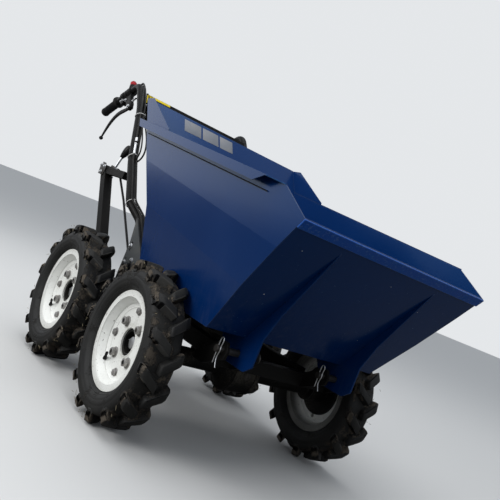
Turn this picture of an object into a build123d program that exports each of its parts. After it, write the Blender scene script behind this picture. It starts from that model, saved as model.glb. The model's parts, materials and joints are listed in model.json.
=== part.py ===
from build123d import *
from math import cos, hypot, radians, sin
import os

# Four-wheel-drive walk-behind mini dumper with a forward tipping skip
# Frame: +X forward, +Y to the operator's left, +Z up, millimetres,
# origin on the ground in the middle of the machine's length and width.

# Skip, half widths (y) of the side panel at its folds
RIM_HALF = 367.0
UPPER_CREASE_HALF = RIM_HALF - 6.0
LOWER_CREASE_HALF = RIM_HALF - 18.0
LOWER_CREASE_FRONT_HALF = RIM_HALF - 20.0
FLOOR_HALF = RIM_HALF - 56.0
FLANGE_WIDTH = 30.0
FLANGE_DROP = 27.0
FLANGE_DROP_REAR_CUT = 22.0
FLANGE_DROP_FRONT_X = 733.0
FLANGE_DROP_FRONT_CUT = 55.0
LIP_BAND = 30.0
LIP_BAND_SHEET = 5.0

# Wheels and running gear
WHEELBASE = 564.0
FRONT_AXLE_X = 380.0
REAR_AXLE_X = FRONT_AXLE_X - WHEELBASE
WHEEL_OUTSET = 75.0
WHEEL_Y = FLOOR_HALF + WHEEL_OUTSET
TYRE_RADIUS = 232.0
TREAD_DEPTH = 17.0
TREAD_RADIUS = TYRE_RADIUS - TREAD_DEPTH
TREAD_HALF_WIDTH = 42.0
SHOULDER_HALF_WIDTH = 48.0
SHOULDER_DROP = 8.0
SIDEWALL_RADIUS = 174.0
SIDEWALL_HALF_WIDTH = 54.0
LOWER_WALL_RADIUS = 152.0
LOWER_WALL_HALF_WIDTH = 46.5
UPPER_WALL_RADIUS = 192.0
UPPER_WALL_HALF_WIDTH = 52.6
LUGS_PER_SIDE = 14
LUG_WIDTH = 31.0
LUG_SWEEP = 40.0
LUG_ROOT = 16.0
LUG_OVERLAP = 5.0
LUG_INSET = 1.0
AXLE_Z = TYRE_RADIUS
BEAD_RADIUS = 127.0
RIM_FLANGE_RADIUS = 142.5
RIM_HALF_WIDTH = 36.0
RIM_SHEET = 3.5
RIM_WELL_RADIUS = 114.0
RIM_WELL_HALF = 8.0
RIM_BEAD_HALF = 24.0
DISC_FACE = 5.0
DISC_SHEET = 5.0
DISC_FLAT_RADIUS = 98.0
DISC_RISE = 8.0
RIM_BORE_RADIUS = 39.5
WELD_GAP = 0.05
STUD_COUNT = 4
STUD_CIRCLE_RADIUS = 66.0
STUD_RADIUS = 6.0
STUD_CLEARANCE = 0.5
STUD_LENGTH = 20.0
VENT_CIRCLE_RADIUS = 91.0
VENT_RADIUS = 8.5
SPINDLE_RADIUS = 12.5
RUNNING_FIT = 0.05
END_PLAY = 0.5
HUB_RADIUS = 44.0
HUB_FLANGE_RADIUS = 84.0
HUB_FLANGE = 8.0
HUB_RECESS_RADIUS = 32.0
HUB_RECESS = 24.0
HUB_LENGTH = 78.0
AXLE_TUBE_RADIUS = 28.0
AXLE_CASE_RADIUS = 70.0
AXLE_CASE_HALF = 42.0
AXLE_CASE_TAPER = 40.0
PINION_RADIUS = 34.0
PINION_REACH = 92.0
SADDLE = 56.0
PROPSHAFT_RADIUS = 14.0
GEARBOX_HALF_LENGTH = 72.0
GEARBOX_HALF_WIDTH = 66.0
GEARBOX_BOTTOM = 168.0
GEARBOX_TOP = 296.0
GEARBOX_CORNER = 18.0

# Chassis
CRANK_X = -130.0
CRANK_Z = 424.0
REAR_BAR_WIDTH = 54.0
REAR_BAR_TO_AXLE = 40.0
REAR_BAR_TO_CRANK = 64.0
REAR_BAR_FRONT = min(REAR_AXLE_X - REAR_BAR_TO_AXLE, CRANK_X - REAR_BAR_TO_CRANK)
REAR_BAR_X = REAR_BAR_FRONT - REAR_BAR_WIDTH / 2
RAIL_Y = 150.0
RAIL_WIDTH = 40.0
RAIL_BOTTOM = 262.0
RAIL_TOP = 312.0
RAIL_TAIL = 79.0
RAIL_FRONT_X = 500.0
BOX_WALL = 3.0
RAIL_REAR_X = REAR_BAR_X - RAIL_TAIL
CROSS_BOX = 40.0
BRACKET_BAR_X = -24.0
REST_BAR_X = 165.0
REST_BAR_HALF_LENGTH = 215.0
REST_BAR_TOP = 356.0
PAD_LENGTH = 60.0
PAD_Y = 180.0
REST_GAP = 0.3
BRACKET_SHEET = 6.0
BRACKET_SLOT = 9.0
SLOT_LENGTH = 36.0
BRACKET_SLOTS = [(-102.0, 455.0), (-102.0, 395.0)]
BRACKET_HOLES = [(-52.0, 412.0), (-52.0, 362.0)]
BRACKET_OUTLINE = [
    # x, z
    (-146.0, 556.0),
    (-123.0, 466.0),
    (-123.0, 318.0),
    (-60.0, RAIL_TOP),
    (6.0, RAIL_TOP),
    (6.0, 430.0),
    (-20.0, 456.0),
]

# Skip pivot
PIVOT_X = 620.0
PIVOT_Z = 325.0
PIN_RADIUS = 10.0
PIN_TAIL = 78.0
PIN_LENGTH = 140.0
PIN_HEAD_RADIUS = 15.0
PIN_HEAD = 6.0
EAR_Y = 190.0
EAR_SHEET = 6.0
FORK_SPREAD = 52.0
FORK_SHEET = 8.0
FORK_OUTLINE = [
    # x, z
    (500.0, RAIL_BOTTOM),
    (546.0, RAIL_BOTTOM),
    (640.0, 304.0),
    (646.0, 326.0),
    (632.0, 348.0),
    (606.0, 348.0),
    (540.0, 306.0),
    (500.0, 306.0),
]
EAR_OUTLINE = [
    # x, z below the plate
    (842.0, 630.0),
    (737.0, 467.0),
    (701.0, 389.0),
    (698.0, 312.0),
    (668.0, 290.0),
    (574.0, 290.0),
    (526.0, 337.0),
]
EAR_TOP_X = 868.0
EAR_TAIL_X = 500.0
EAR_CORNER = 22.0

# Skip, side view points (x, z) on the outer face of the sheet
SHEET = 3.0
RIM_REAR = (-175.0, 891.0)
RIM_FRONT = (788.0, 778.0)
LIP = (901.0, 712.0)
WALL_TOP = (-249.0, 983.0)
WALL_FOLD = (52.0, 613.0)
FLOOR_REAR = (129.0, 371.0)
FLOOR_FRONT = (622.0, 371.0)
UPPER_CREASE_REAR = (-61.0, 757.0)
UPPER_CREASE_FRONT_Z = 640.0
LOWER_CREASE_FRONT_Z = 507.0
WING_TOP = (-190.0, 985.0)
WING_FOOT_X = 25.0
WING_FOOT = 6.0

# Handlebars
TUBE_RADIUS = 16.0
TUBE_WALL = 2.5
BAR_INSET = 106.0
BAR_Y = WHEEL_Y - BAR_INSET
BAR_INNER_Y = BAR_Y - 30.0
BAR_POINTS = [
    # x, z, y of the tube's centre line on the left, bend radius at the point
    (-20.0, 438.0, BAR_INNER_Y, 0.0),
    (-168.0, 551.0, BAR_INNER_Y, 70.0),
    (-240.0, 598.0, BAR_Y, 70.0),
    (-380.0, 753.0, BAR_Y, 220.0),
    (-508.0, 972.0, BAR_Y, 220.0),
    (-612.0, 1078.0, BAR_Y, 48.0),
    (-891.4, 940.0, BAR_Y, 0.0),
]
GRIP_RADIUS = 18.5
GRIP_LENGTH = 122.0
GRIP_END = 6.0
GRIP_COLLAR_RADIUS = 26.0
GRIP_COLLAR = 8.0
PERCH_RADIUS = 22.0
PERCH_LENGTH = 26.0
LEVER_RADIUS = 5.0
LEVER_BALL = 9.0
LEVER_BEND = 26.0
LEVER_POINTS = [
    # x, z
    (-650.0, 1041.0),
    (-662.0, 968.0),
    (-790.0, 918.0),
    (-832.0, 874.0),
    (-808.0, 816.0),
]
SWITCH_BACK = 76.0
SWITCH_RADIUS = 12.0
SWITCH_HEIGHT = 26.0
SWITCH_CAP_RADIUS = 9.0
SWITCH_CAP_HEIGHT = 12.0
CONSOLE_BOTTOM = (-500.0, 930.0)
CONSOLE_TOP = (-546.0, 1045.0)
CONSOLE_SHEET = 3.0
SEAT_GAP = 0.2

# Gear change
POST_FOOT = (REAR_BAR_X, RAIL_TOP)
POST_TOP = (-593.0, 693.0)
POST_BOX = 36.0
POST_WALL = 3.0
POST_BAR_Z = 702.0
POST_BAR_BOX = 30.0
POST_BAR_START = -582.0
GEAR_LEVER_ROOT = (-592.0, 23.2 - BAR_Y, 676.0)
GEAR_LEVER_TOP = (-587.0, 39.0 - BAR_Y, 766.0)
GEAR_KNOB_TOP = (-580.0, 52.0 - BAR_Y, 808.0)
GEAR_KNOB_SEAT = 0.6
GEAR_LEVER_RADIUS = 5.0
GEAR_KNOB_RADIUS = 15.0
SHIFT_ROD_RADIUS = 4.5
SHIFT_ROD_Y = BAR_Y - 23.0
SHIFT_ROD_BEND = 40.0
SHIFT_ROD_POINTS = [
    # x, z
    (-592.0, 668.0),
    (-540.0, 716.0),
    (-357.0, 596.0),
    (-112.0, 412.0),
]
CABLE_RADIUS = 4.0
CABLE_SPREAD = 7.0
CABLE_STANDOFF = 24.0
CABLE_BEND = 40.0

# Engine
BED_HEIGHT = 6.0
BED_DEPTH = 14.0
BED_Y = 54.0
BED_WIDTH = 28.0
CRANKCASE_HALF_LENGTH = 82.0
CRANKCASE_HALF_WIDTH = 72.0
CRANKCASE_TOP = 482.0
CRANKCASE_CORNER = 14.0
CYLINDER_LEAN = 30.0
CYLINDER_RADIUS = 42.0
FIN_START = 100.0
FIN_SIZE = 112.0
FIN_SHEET = 4.0
FIN_PITCH = 10.0
FIN_COUNT = 8
HEAD_SIZE = 84.0
HEAD_DEPTH = 20.0
FAN_RADIUS = 100.0
FAN_COVER = 62.0
STARTER_RADIUS = 70.0
STARTER_DEPTH = 30.0
STARTER_EDGE = 8.0
TANK_X = (-222.0, -38.0)
TANK_HALF_WIDTH = 128.0
TANK_Z = (548.0, 640.0)
TANK_CORNER = 22.0
TANK_LEG = 20.0
TANK_LEG_X = (-190.0, -110.0)
TANK_CAP_RADIUS = 26.0
TANK_CAP_HEIGHT = 14.0
CLEANER_LENGTH = 92.0
CLEANER_Y = (-50.0, 62.0)
CLEANER_Z = (396.0, 486.0)
CLEANER_CORNER = 16.0
MUFFLER_X = (-47.0, 45.0)
MUFFLER_DEPTH = 74.0
MUFFLER_Z = (440.0, 520.0)
MUFFLER_CORNER = 18.0
BELT_COVER = 44.0
BELT_TOP_RADIUS = 58.0
BELT_BOTTOM_RADIUS = 44.0
INPUT_RISE = 4.0
INPUT_Z = AXLE_Z + INPUT_RISE
INPUT_RADIUS = 30.0

os.makedirs("parts", exist_ok=True)


def finish(piece, name):
    """Label a finished piece and write its STEP file."""
    piece.part.label = name
    export_step(piece.part, f"parts/{name}.step")


def box(x_span, y_span, z_span):
    """Block between two x, two y and two z values."""
    with BuildPart() as form:
        with BuildSketch(Plane.XY.offset(z_span[0])):
            with Locations(((x_span[0] + x_span[1]) / 2, (y_span[0] + y_span[1]) / 2)):
                Rectangle(abs(x_span[1] - x_span[0]), abs(y_span[1] - y_span[0]))
        extrude(amount=z_span[1] - z_span[0])
    return form.part


def rod(start, end, radius):
    """Round bar between two points."""
    axis = Vector(*end) - Vector(*start)
    with BuildPart() as form:
        with BuildSketch(Plane(origin=start, z_dir=axis)):
            Circle(radius)
        extrude(amount=axis.length)
    return form.part


def slab(outline, y_start, y_end):
    """Side view outline (x, z) extruded between two y values."""
    with BuildPart() as form:
        with BuildSketch(Plane.XZ.offset(-max(y_start, y_end))):
            with BuildLine():
                Polyline(*outline, close=True)
            make_face()
        extrude(amount=abs(y_end - y_start))
    return form.part


def bent_rod(points, bends, radius):
    """Round bar swept along straight runs joined by arcs."""
    with BuildPart() as form:
        with BuildLine() as path:
            route = FilletPolyline(*points, radius=bends)
        with BuildSketch(Plane(origin=route @ 0, z_dir=route % 0)):
            Circle(radius)
        sweep(path=path.wire())
    return form.part


def beside(points, distance):
    """Copy of a side view line moved to its left, mitred at the corners."""
    copies = []
    for index, (x, z) in enumerate(points):
        ends = [points[max(index - 1, 0)], points[index], points[min(index + 1, len(points) - 1)]]
        normals = []
        for (x_a, z_a), (x_b, z_b) in zip(ends, ends[1:]):
            length = hypot(x_b - x_a, z_b - z_a)
            if length > 0:
                normals.append(((z_a - z_b) / length, (x_b - x_a) / length))
        n_x = sum(n[0] for n in normals)
        n_z = sum(n[1] for n in normals)
        scale = distance * len(normals) / (n_x * n_x + n_z * n_z)
        copies.append((x + n_x * scale, z + n_z * scale))
    return copies


def on_line(start, end, x=None, z=None):
    """The point of a side view line at the given x or z."""
    if x is None:
        share = (z - start[1]) / (end[1] - start[1])
    else:
        share = (x - start[0]) / (end[0] - start[0])
    return start[0] + share * (end[0] - start[0]), start[1] + share * (end[1] - start[1])


# Side panel folds: three flat facets, each leaning in more than the one above it
LOWER_CREASE_FRONT = on_line(FLOOR_FRONT, LIP, z=LOWER_CREASE_FRONT_Z)
UPPER_CREASE_FRONT = on_line(FLOOR_FRONT, LIP, z=UPPER_CREASE_FRONT_Z)
FACETS = [
    # three corners (x, z, half width) of each facet
    ((*RIM_REAR, RIM_HALF), (*RIM_FRONT, RIM_HALF), (*UPPER_CREASE_REAR, UPPER_CREASE_HALF)),
    ((*UPPER_CREASE_REAR, UPPER_CREASE_HALF), (*UPPER_CREASE_FRONT, UPPER_CREASE_HALF),
     (*WALL_FOLD, LOWER_CREASE_HALF)),
    ((*WALL_FOLD, LOWER_CREASE_HALF), (*LOWER_CREASE_FRONT, LOWER_CREASE_FRONT_HALF),
     (*FLOOR_REAR, FLOOR_HALF)),
]


def facet_plane(corners, inset, side):
    """Plane of one side facet moved inwards, its normal pointing away from the skip."""
    first, second, third = (Vector(x, side * y, z) for x, z, y in corners)
    along = second - first
    normal = along.cross(third - first).normalized()
    if normal.Y * side < 0:
        normal = -normal
    return Plane(origin=first - normal * inset, x_dir=along, z_dir=normal)


def between_sides(outline, inset):
    """Side view outline extruded as wide as the skip is between its side panels."""
    reach = RIM_HALF + FLANGE_WIDTH
    with BuildPart() as core:
        add(slab(outline, -reach, reach))
        for side in (1, -1):
            for corners in FACETS:
                split(bisect_by=facet_plane(corners, inset, side), keep=Keep.BOTTOM)
    return core.part


# Skip side panels with their folded rim flanges
SIDE_OUTLINE = [RIM_REAR, RIM_FRONT, LIP, FLOOR_FRONT, FLOOR_REAR, WALL_FOLD]
rim_top = beside([RIM_REAR, RIM_FRONT], SHEET)
drop_rear = RIM_REAR[0] + FLANGE_DROP_REAR_CUT
drop_front = FLANGE_DROP_FRONT_X - FLANGE_DROP_FRONT_CUT
drop_outline = [
    on_line(*rim_top, x=RIM_REAR[0]),
    on_line(*rim_top, x=FLANGE_DROP_FRONT_X),
    (drop_front, on_line(*rim_top, x=drop_front)[1] - FLANGE_DROP),
    (drop_rear, on_line(*rim_top, x=drop_rear)[1] - FLANGE_DROP),
]
for side, name in ((1, "left"), (-1, "right")):
    flange_outer = side * (RIM_HALF + FLANGE_WIDTH)
    with BuildPart() as flange:
        add(slab([RIM_REAR, RIM_FRONT, rim_top[1], rim_top[0]], side * (RIM_HALF - SHEET / 2), flange_outer))
        with BuildSketch(Plane.XY):
            with BuildLine():
                Polyline((RIM_REAR[0] - SHEET, side * (RIM_HALF - 2 * SHEET)),
                         (RIM_FRONT[0], side * (RIM_HALF - 2 * SHEET)),
                         (RIM_FRONT[0], side * RIM_HALF),
                         (FLANGE_DROP_FRONT_X, flange_outer),
                         (RIM_REAR[0] - SHEET, flange_outer), close=True)
            make_face()
        extrude(amount=2 * RIM_REAR[1], mode=Mode.INTERSECT)
        add(slab(drop_outline, flange_outer - side * SHEET, flange_outer))
    with BuildPart() as skip_side:
        add(between_sides(SIDE_OUTLINE, 0))
        add(between_sides(SIDE_OUTLINE, SHEET), mode=Mode.SUBTRACT)
        split(bisect_by=Plane.XZ, keep=Keep.BOTTOM if side > 0 else Keep.TOP)
        add(flange.part)
    finish(skip_side, f"skip_side_{name}")

# Skip rear wall: one folded sheet with a wing at each end above the rim
wall_line = [WALL_TOP, WALL_FOLD, FLOOR_REAR]
wall_sheet = wall_line + beside(wall_line, SHEET)[::-1]
wing_base = on_line(WALL_TOP, WALL_FOLD, z=rim_top[0][1])
wing_outline = [
    WALL_TOP,
    WING_TOP,
    (WING_FOOT_X, on_line(*rim_top, x=WING_FOOT_X)[1] + WING_FOOT),
    on_line(*rim_top, x=WING_FOOT_X),
    on_line(*rim_top, x=wing_base[0]),
]
with BuildPart() as skip_rear_wall:
    add(between_sides(wing_outline, 0))
    add(between_sides(wing_outline, SHEET), mode=Mode.SUBTRACT)
    add(between_sides(wall_sheet, SHEET))
finish(skip_rear_wall, "skip_rear_wall")

# Skip floor and front plate: one folded sheet
pan_line = [FLOOR_REAR, FLOOR_FRONT, LIP]
with BuildPart() as skip_pan:
    add(between_sides(pan_line + beside(pan_line, SHEET)[::-1], SHEET))
    add(skip_rear_wall.part, mode=Mode.SUBTRACT)
finish(skip_pan, "skip_pan")

# Flat bar along the front lip
plate_length = hypot(LIP[0] - FLOOR_FRONT[0], LIP[1] - FLOOR_FRONT[1])
band_share = 1 - LIP_BAND / plate_length
band_foot = tuple(a + band_share * (b - a) for a, b in zip(FLOOR_FRONT, LIP))
band_line = [LIP, band_foot]
with BuildPart() as skip_lip_bar:
    add(between_sides(band_line + beside(band_line, LIP_BAND_SHEET)[::-1], 0))
finish(skip_lip_bar, "skip_lip_bar")

# Stiffening fins under the front plate, ending in the pivot ears
fin_top = on_line(FLOOR_FRONT, LIP, x=EAR_TOP_X)
fin_outline = [(EAR_TAIL_X, FLOOR_FRONT[1]), FLOOR_FRONT, fin_top, *EAR_OUTLINE]
with BuildPart() as skip_fins:
    for side in (1, -1):
        add(slab(fin_outline, side * EAR_Y - EAR_SHEET / 2, side * EAR_Y + EAR_SHEET / 2))
    ear_bottom = min(z for x, z in EAR_OUTLINE)
    corners = skip_fins.edges().filter_by(Axis.Y).filter_by(lambda e: abs(e.center().Z - ear_bottom) < 1)
    fillet(corners, EAR_CORNER)
    with BuildSketch(Plane.XZ):
        with Locations((PIVOT_X, PIVOT_Z)):
            Circle(PIN_RADIUS + RUNNING_FIT)
    extrude(amount=EAR_Y + EAR_SHEET, both=True, mode=Mode.SUBTRACT)
finish(skip_fins, "skip_fins")

# Pivot pins, both put in from the left
with BuildPart() as pivot_pins:
    for side in (1, -1):
        tail = side * EAR_Y - PIN_TAIL
        head = tail + PIN_LENGTH
        add(rod((PIVOT_X, tail, PIVOT_Z), (PIVOT_X, head, PIVOT_Z), PIN_RADIUS))
        add(rod((PIVOT_X, head, PIVOT_Z), (PIVOT_X, head + PIN_HEAD, PIVOT_Z), PIN_HEAD_RADIUS))
finish(pivot_pins, "pivot_pins")

# Chassis weldment: box rails, cross members and the forks that hold the pins
rail_span = (RAIL_BOTTOM, RAIL_TOP)
fork_outer = EAR_Y + FORK_SPREAD + FORK_SHEET / 2
bar_bracket_y = BAR_INNER_Y + TUBE_RADIUS
with BuildPart() as chassis_frame:
    for side in (1, -1):
        y_in = side * (RAIL_Y - RAIL_WIDTH / 2)
        y_out = side * (RAIL_Y + RAIL_WIDTH / 2)
        add(box((RAIL_REAR_X, RAIL_FRONT_X), (y_in, y_out), rail_span))
    for side in (1, -1):
        inner = (side * (RAIL_Y - RAIL_WIDTH / 2 + BOX_WALL), side * (RAIL_Y + RAIL_WIDTH / 2 - BOX_WALL))
        add(box((RAIL_REAR_X, RAIL_FRONT_X), inner, (RAIL_BOTTOM + BOX_WALL, RAIL_TOP - BOX_WALL)),
            mode=Mode.SUBTRACT)
    add(box((REAR_BAR_X - REAR_BAR_WIDTH / 2, REAR_BAR_X + REAR_BAR_WIDTH / 2),
            (-BAR_Y - POST_BOX / 2, RAIL_Y + RAIL_WIDTH / 2), (RAIL_TOP - CROSS_BOX, RAIL_TOP)))
    add(box((BRACKET_BAR_X - CROSS_BOX / 2, BRACKET_BAR_X + CROSS_BOX / 2),
            (-bar_bracket_y, bar_bracket_y), (RAIL_TOP, RAIL_TOP + CROSS_BOX)))
    add(box((REST_BAR_X - CROSS_BOX / 2, REST_BAR_X + CROSS_BOX / 2),
            (-REST_BAR_HALF_LENGTH, REST_BAR_HALF_LENGTH), (RAIL_TOP, REST_BAR_TOP)))
    add(box((RAIL_FRONT_X, RAIL_FRONT_X + CROSS_BOX), (-fork_outer, fork_outer),
            (RAIL_BOTTOM, RAIL_BOTTOM + CROSS_BOX)))
    for side in (1, -1):
        add(box((REAR_BAR_X + REAR_BAR_WIDTH / 2, BRACKET_BAR_X - CROSS_BOX / 2),
                (side * BED_Y - BED_WIDTH / 2, side * BED_Y + BED_WIDTH / 2),
                (RAIL_TOP + BED_HEIGHT - BED_DEPTH, RAIL_TOP + BED_HEIGHT)))
    for centre in (-EAR_Y - FORK_SPREAD, -EAR_Y + FORK_SPREAD, EAR_Y - FORK_SPREAD, EAR_Y + FORK_SPREAD):
        add(slab(FORK_OUTLINE, centre - FORK_SHEET / 2, centre + FORK_SHEET / 2))
    with BuildSketch(Plane.XZ):
        with Locations((PIVOT_X, PIVOT_Z)):
            Circle(PIN_RADIUS)
    extrude(amount=fork_outer + FORK_SHEET, both=True, mode=Mode.SUBTRACT)
finish(chassis_frame, "chassis_frame")

# Rubber pads the skip rests on
with BuildPart() as rest_pads:
    for side in (1, -1):
        add(box((REST_BAR_X - CROSS_BOX / 2, REST_BAR_X + CROSS_BOX / 2),
                (side * PAD_Y - PAD_LENGTH / 2, side * PAD_Y + PAD_LENGTH / 2),
                (REST_BAR_TOP, FLOOR_REAR[1] - REST_GAP)))
finish(rest_pads, "rest_pads")


# Axles
DISC_BACK = DISC_FACE - DISC_SHEET
HUB_FACE_Y = WHEEL_Y + DISC_BACK
HUB_ROOT_Y = HUB_FACE_Y - HUB_LENGTH
SPINDLE_END_Y = HUB_FACE_Y - HUB_RECESS / 2


def axle_beam(x):
    """Axle tube with its spindles and the saddles under the rails."""
    tube_end = HUB_ROOT_Y - END_PLAY
    with BuildPart() as beam:
        add(rod((x, -tube_end, AXLE_Z), (x, tube_end, AXLE_Z), AXLE_TUBE_RADIUS))
        add(rod((x, -SPINDLE_END_Y, AXLE_Z), (x, SPINDLE_END_Y, AXLE_Z), SPINDLE_RADIUS))
        for side in (1, -1):
            add(box((x - SADDLE / 2, x + SADDLE / 2),
                    (side * RAIL_Y - RAIL_WIDTH / 2, side * RAIL_Y + RAIL_WIDTH / 2), (AXLE_Z, RAIL_BOTTOM)))
    return beam.part


with BuildPart() as front_axle:
    add(axle_beam(FRONT_AXLE_X))
    with BuildSketch(Plane.XY.offset(AXLE_Z)):
        with BuildLine():
            Polyline((FRONT_AXLE_X, -AXLE_CASE_HALF - AXLE_CASE_TAPER),
                     (FRONT_AXLE_X + AXLE_TUBE_RADIUS, -AXLE_CASE_HALF - AXLE_CASE_TAPER),
                     (FRONT_AXLE_X + AXLE_CASE_RADIUS, -AXLE_CASE_HALF),
                     (FRONT_AXLE_X + AXLE_CASE_RADIUS, AXLE_CASE_HALF),
                     (FRONT_AXLE_X + AXLE_TUBE_RADIUS, AXLE_CASE_HALF + AXLE_CASE_TAPER),
                     (FRONT_AXLE_X, AXLE_CASE_HALF + AXLE_CASE_TAPER), close=True)
        make_face()
    revolve(axis=Axis((FRONT_AXLE_X, 0, AXLE_Z), (0, 1, 0)))
    add(rod((FRONT_AXLE_X - PINION_REACH, 0, AXLE_Z), (FRONT_AXLE_X, 0, AXLE_Z), PINION_RADIUS))
finish(front_axle, "front_axle")

with BuildPart() as rear_axle:
    add(axle_beam(REAR_AXLE_X))
finish(rear_axle, "rear_axle")

with BuildPart() as gearbox:
    add(box((REAR_AXLE_X - GEARBOX_HALF_LENGTH, REAR_AXLE_X + GEARBOX_HALF_LENGTH),
            (-GEARBOX_HALF_WIDTH, GEARBOX_HALF_WIDTH), (GEARBOX_BOTTOM, GEARBOX_TOP)))
    fillet(gearbox.edges().filter_by(Axis.Y), GEARBOX_CORNER)
    add(rear_axle.part, mode=Mode.SUBTRACT)
    add(box((REAR_BAR_X - REAR_BAR_WIDTH / 2, REAR_BAR_X + REAR_BAR_WIDTH / 2 + SEAT_GAP),
            (-RAIL_Y, RAIL_Y), (RAIL_TOP - CROSS_BOX, RAIL_TOP)), mode=Mode.SUBTRACT)
    add(rod((REAR_AXLE_X, GEARBOX_HALF_WIDTH, INPUT_Z),
            (REAR_AXLE_X, CRANKCASE_HALF_WIDTH, INPUT_Z), INPUT_RADIUS))
    add(rear_axle.part, mode=Mode.SUBTRACT)
finish(gearbox, "gearbox")

with BuildPart() as propshaft:
    add(rod((REAR_AXLE_X + GEARBOX_HALF_LENGTH, 0, AXLE_Z),
            (FRONT_AXLE_X - PINION_REACH, 0, AXLE_Z), PROPSHAFT_RADIUS))
finish(propshaft, "propshaft")

# Tyre: smooth carcass with chevron lugs
lug_drift = LUG_SWEEP * TYRE_RADIUS / SIDEWALL_HALF_WIDTH
with BuildPart() as lug_ring:
    for row in (1, -1):
        for step in range(LUGS_PER_SIDE):
            turn = radians(360 * (step + (row < 0) / 2) / LUGS_PER_SIDE)
            facing = Vector(cos(turn), 0, sin(turn))
            base = Plane(origin=facing * (TREAD_RADIUS - LUG_ROOT), x_dir=(0, row, 0), z_dir=facing)
            with BuildSketch(base):
                with BuildLine():
                    Polyline((-LUG_OVERLAP, -row * LUG_WIDTH / 2), (-LUG_OVERLAP, row * LUG_WIDTH / 2),
                             (TYRE_RADIUS, row * (lug_drift + LUG_WIDTH / 2)),
                             (TYRE_RADIUS, row * (lug_drift - LUG_WIDTH / 2)), close=True)
                make_face()
            extrude(amount=TREAD_DEPTH + 2 * LUG_ROOT)
    with BuildSketch(Plane.XY):
        with BuildLine():
            lug_foot = TREAD_RADIUS - LUG_ROOT
            lug_shoulder = TYRE_RADIUS - SHOULDER_DROP
            Polyline((lug_foot, SIDEWALL_HALF_WIDTH - LUG_INSET),
                     (lug_shoulder, SHOULDER_HALF_WIDTH + LUG_INSET),
                     (TYRE_RADIUS, TREAD_HALF_WIDTH), (TYRE_RADIUS, -TREAD_HALF_WIDTH),
                     (lug_shoulder, -SHOULDER_HALF_WIDTH - LUG_INSET),
                     (lug_foot, LUG_INSET - SIDEWALL_HALF_WIDTH), close=True)
        make_face()
    revolve(axis=Axis.Y, mode=Mode.INTERSECT)

bead_half = RIM_HALF_WIDTH - RIM_SHEET
with BuildPart() as tyre_form:
    with BuildSketch(Plane.XY):
        with BuildLine():
            bead = Polyline((BEAD_RADIUS, 0), (BEAD_RADIUS, bead_half), (RIM_FLANGE_RADIUS, bead_half))
            bulge = ThreePointArc(bead @ 1, (LOWER_WALL_RADIUS, LOWER_WALL_HALF_WIDTH),
                                  (SIDEWALL_RADIUS, SIDEWALL_HALF_WIDTH))
            wall = ThreePointArc(bulge @ 1, (UPPER_WALL_RADIUS, UPPER_WALL_HALF_WIDTH),
                                 (TREAD_RADIUS - SHOULDER_DROP, SHOULDER_HALF_WIDTH))
            Polyline(wall @ 1, (TREAD_RADIUS, TREAD_HALF_WIDTH), (TREAD_RADIUS, 0), (BEAD_RADIUS, 0))
        make_face()
        mirror(about=Plane.XZ)
    revolve(axis=Axis.Y)
    add(lug_ring.part)

# Rim of a left-hand wheel: rolled barrel with a pressed disc welded into its well
barrel_line = [
    # radius, y of the sheet's outer face from the inner flange to the outer one
    (RIM_FLANGE_RADIUS, -RIM_HALF_WIDTH + RIM_SHEET),
    (BEAD_RADIUS, -RIM_HALF_WIDTH + RIM_SHEET),
    (BEAD_RADIUS, -RIM_BEAD_HALF),
    (RIM_WELL_RADIUS, -RIM_WELL_HALF),
    (RIM_WELL_RADIUS, DISC_FACE + DISC_RISE),
    (BEAD_RADIUS, RIM_BEAD_HALF + DISC_RISE),
    (BEAD_RADIUS, RIM_HALF_WIDTH - RIM_SHEET),
    (RIM_FLANGE_RADIUS, RIM_HALF_WIDTH - RIM_SHEET),
]
disc_line = [(RIM_BORE_RADIUS, DISC_FACE), (DISC_FLAT_RADIUS, DISC_FACE),
             (RIM_WELL_RADIUS, DISC_FACE + DISC_RISE)]
with BuildPart() as barrel_form:
    with BuildSketch(Plane.XY):
        with BuildLine():
            Polyline(*barrel_line, *beside(barrel_line, RIM_SHEET)[::-1], close=True)
        make_face()
    revolve(axis=Axis.Y)
with BuildPart() as disc_form:
    with BuildSketch(Plane.XY):
        with BuildLine():
            Polyline(*disc_line, *beside(disc_line, -DISC_SHEET)[::-1], close=True)
        make_face()
    revolve(axis=Axis.Y)
    with BuildSketch(Plane.XZ):
        Circle(RIM_WELL_RADIUS - RIM_SHEET - WELD_GAP)
    extrude(amount=RIM_HALF_WIDTH, both=True, mode=Mode.INTERSECT)
    with BuildSketch(Plane.XZ):
        with PolarLocations(STUD_CIRCLE_RADIUS, STUD_COUNT, start_angle=45):
            Circle(STUD_RADIUS + STUD_CLEARANCE)
        with PolarLocations(VENT_CIRCLE_RADIUS, STUD_COUNT):
            Circle(VENT_RADIUS)
    extrude(amount=-RIM_HALF_WIDTH, mode=Mode.SUBTRACT)

# Hub of a left-hand wheel: turned barrel, and the flange plate with its studs welded round it
with BuildPart() as hub_form:
    with BuildSketch(Plane.XY):
        with BuildLine():
            Polyline((SPINDLE_RADIUS + RUNNING_FIT, DISC_BACK - HUB_LENGTH),
                     (HUB_RADIUS, DISC_BACK - HUB_LENGTH),
                     (HUB_RADIUS, DISC_BACK), (HUB_RECESS_RADIUS, DISC_BACK),
                     (HUB_RECESS_RADIUS, DISC_BACK - HUB_RECESS),
                     (SPINDLE_RADIUS + RUNNING_FIT, DISC_BACK - HUB_RECESS), close=True)
        make_face()
    revolve(axis=Axis.Y)
with BuildPart() as flange_form:
    with BuildSketch(Plane.XZ.offset(-DISC_BACK)):
        Circle(HUB_FLANGE_RADIUS)
        Circle(HUB_RADIUS + WELD_GAP, mode=Mode.SUBTRACT)
    extrude(amount=HUB_FLANGE)
    with BuildSketch(Plane.XZ.offset(-DISC_BACK)):
        with PolarLocations(STUD_CIRCLE_RADIUS, STUD_COUNT, start_angle=45):
            Circle(STUD_RADIUS)
    extrude(amount=-STUD_LENGTH)

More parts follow.
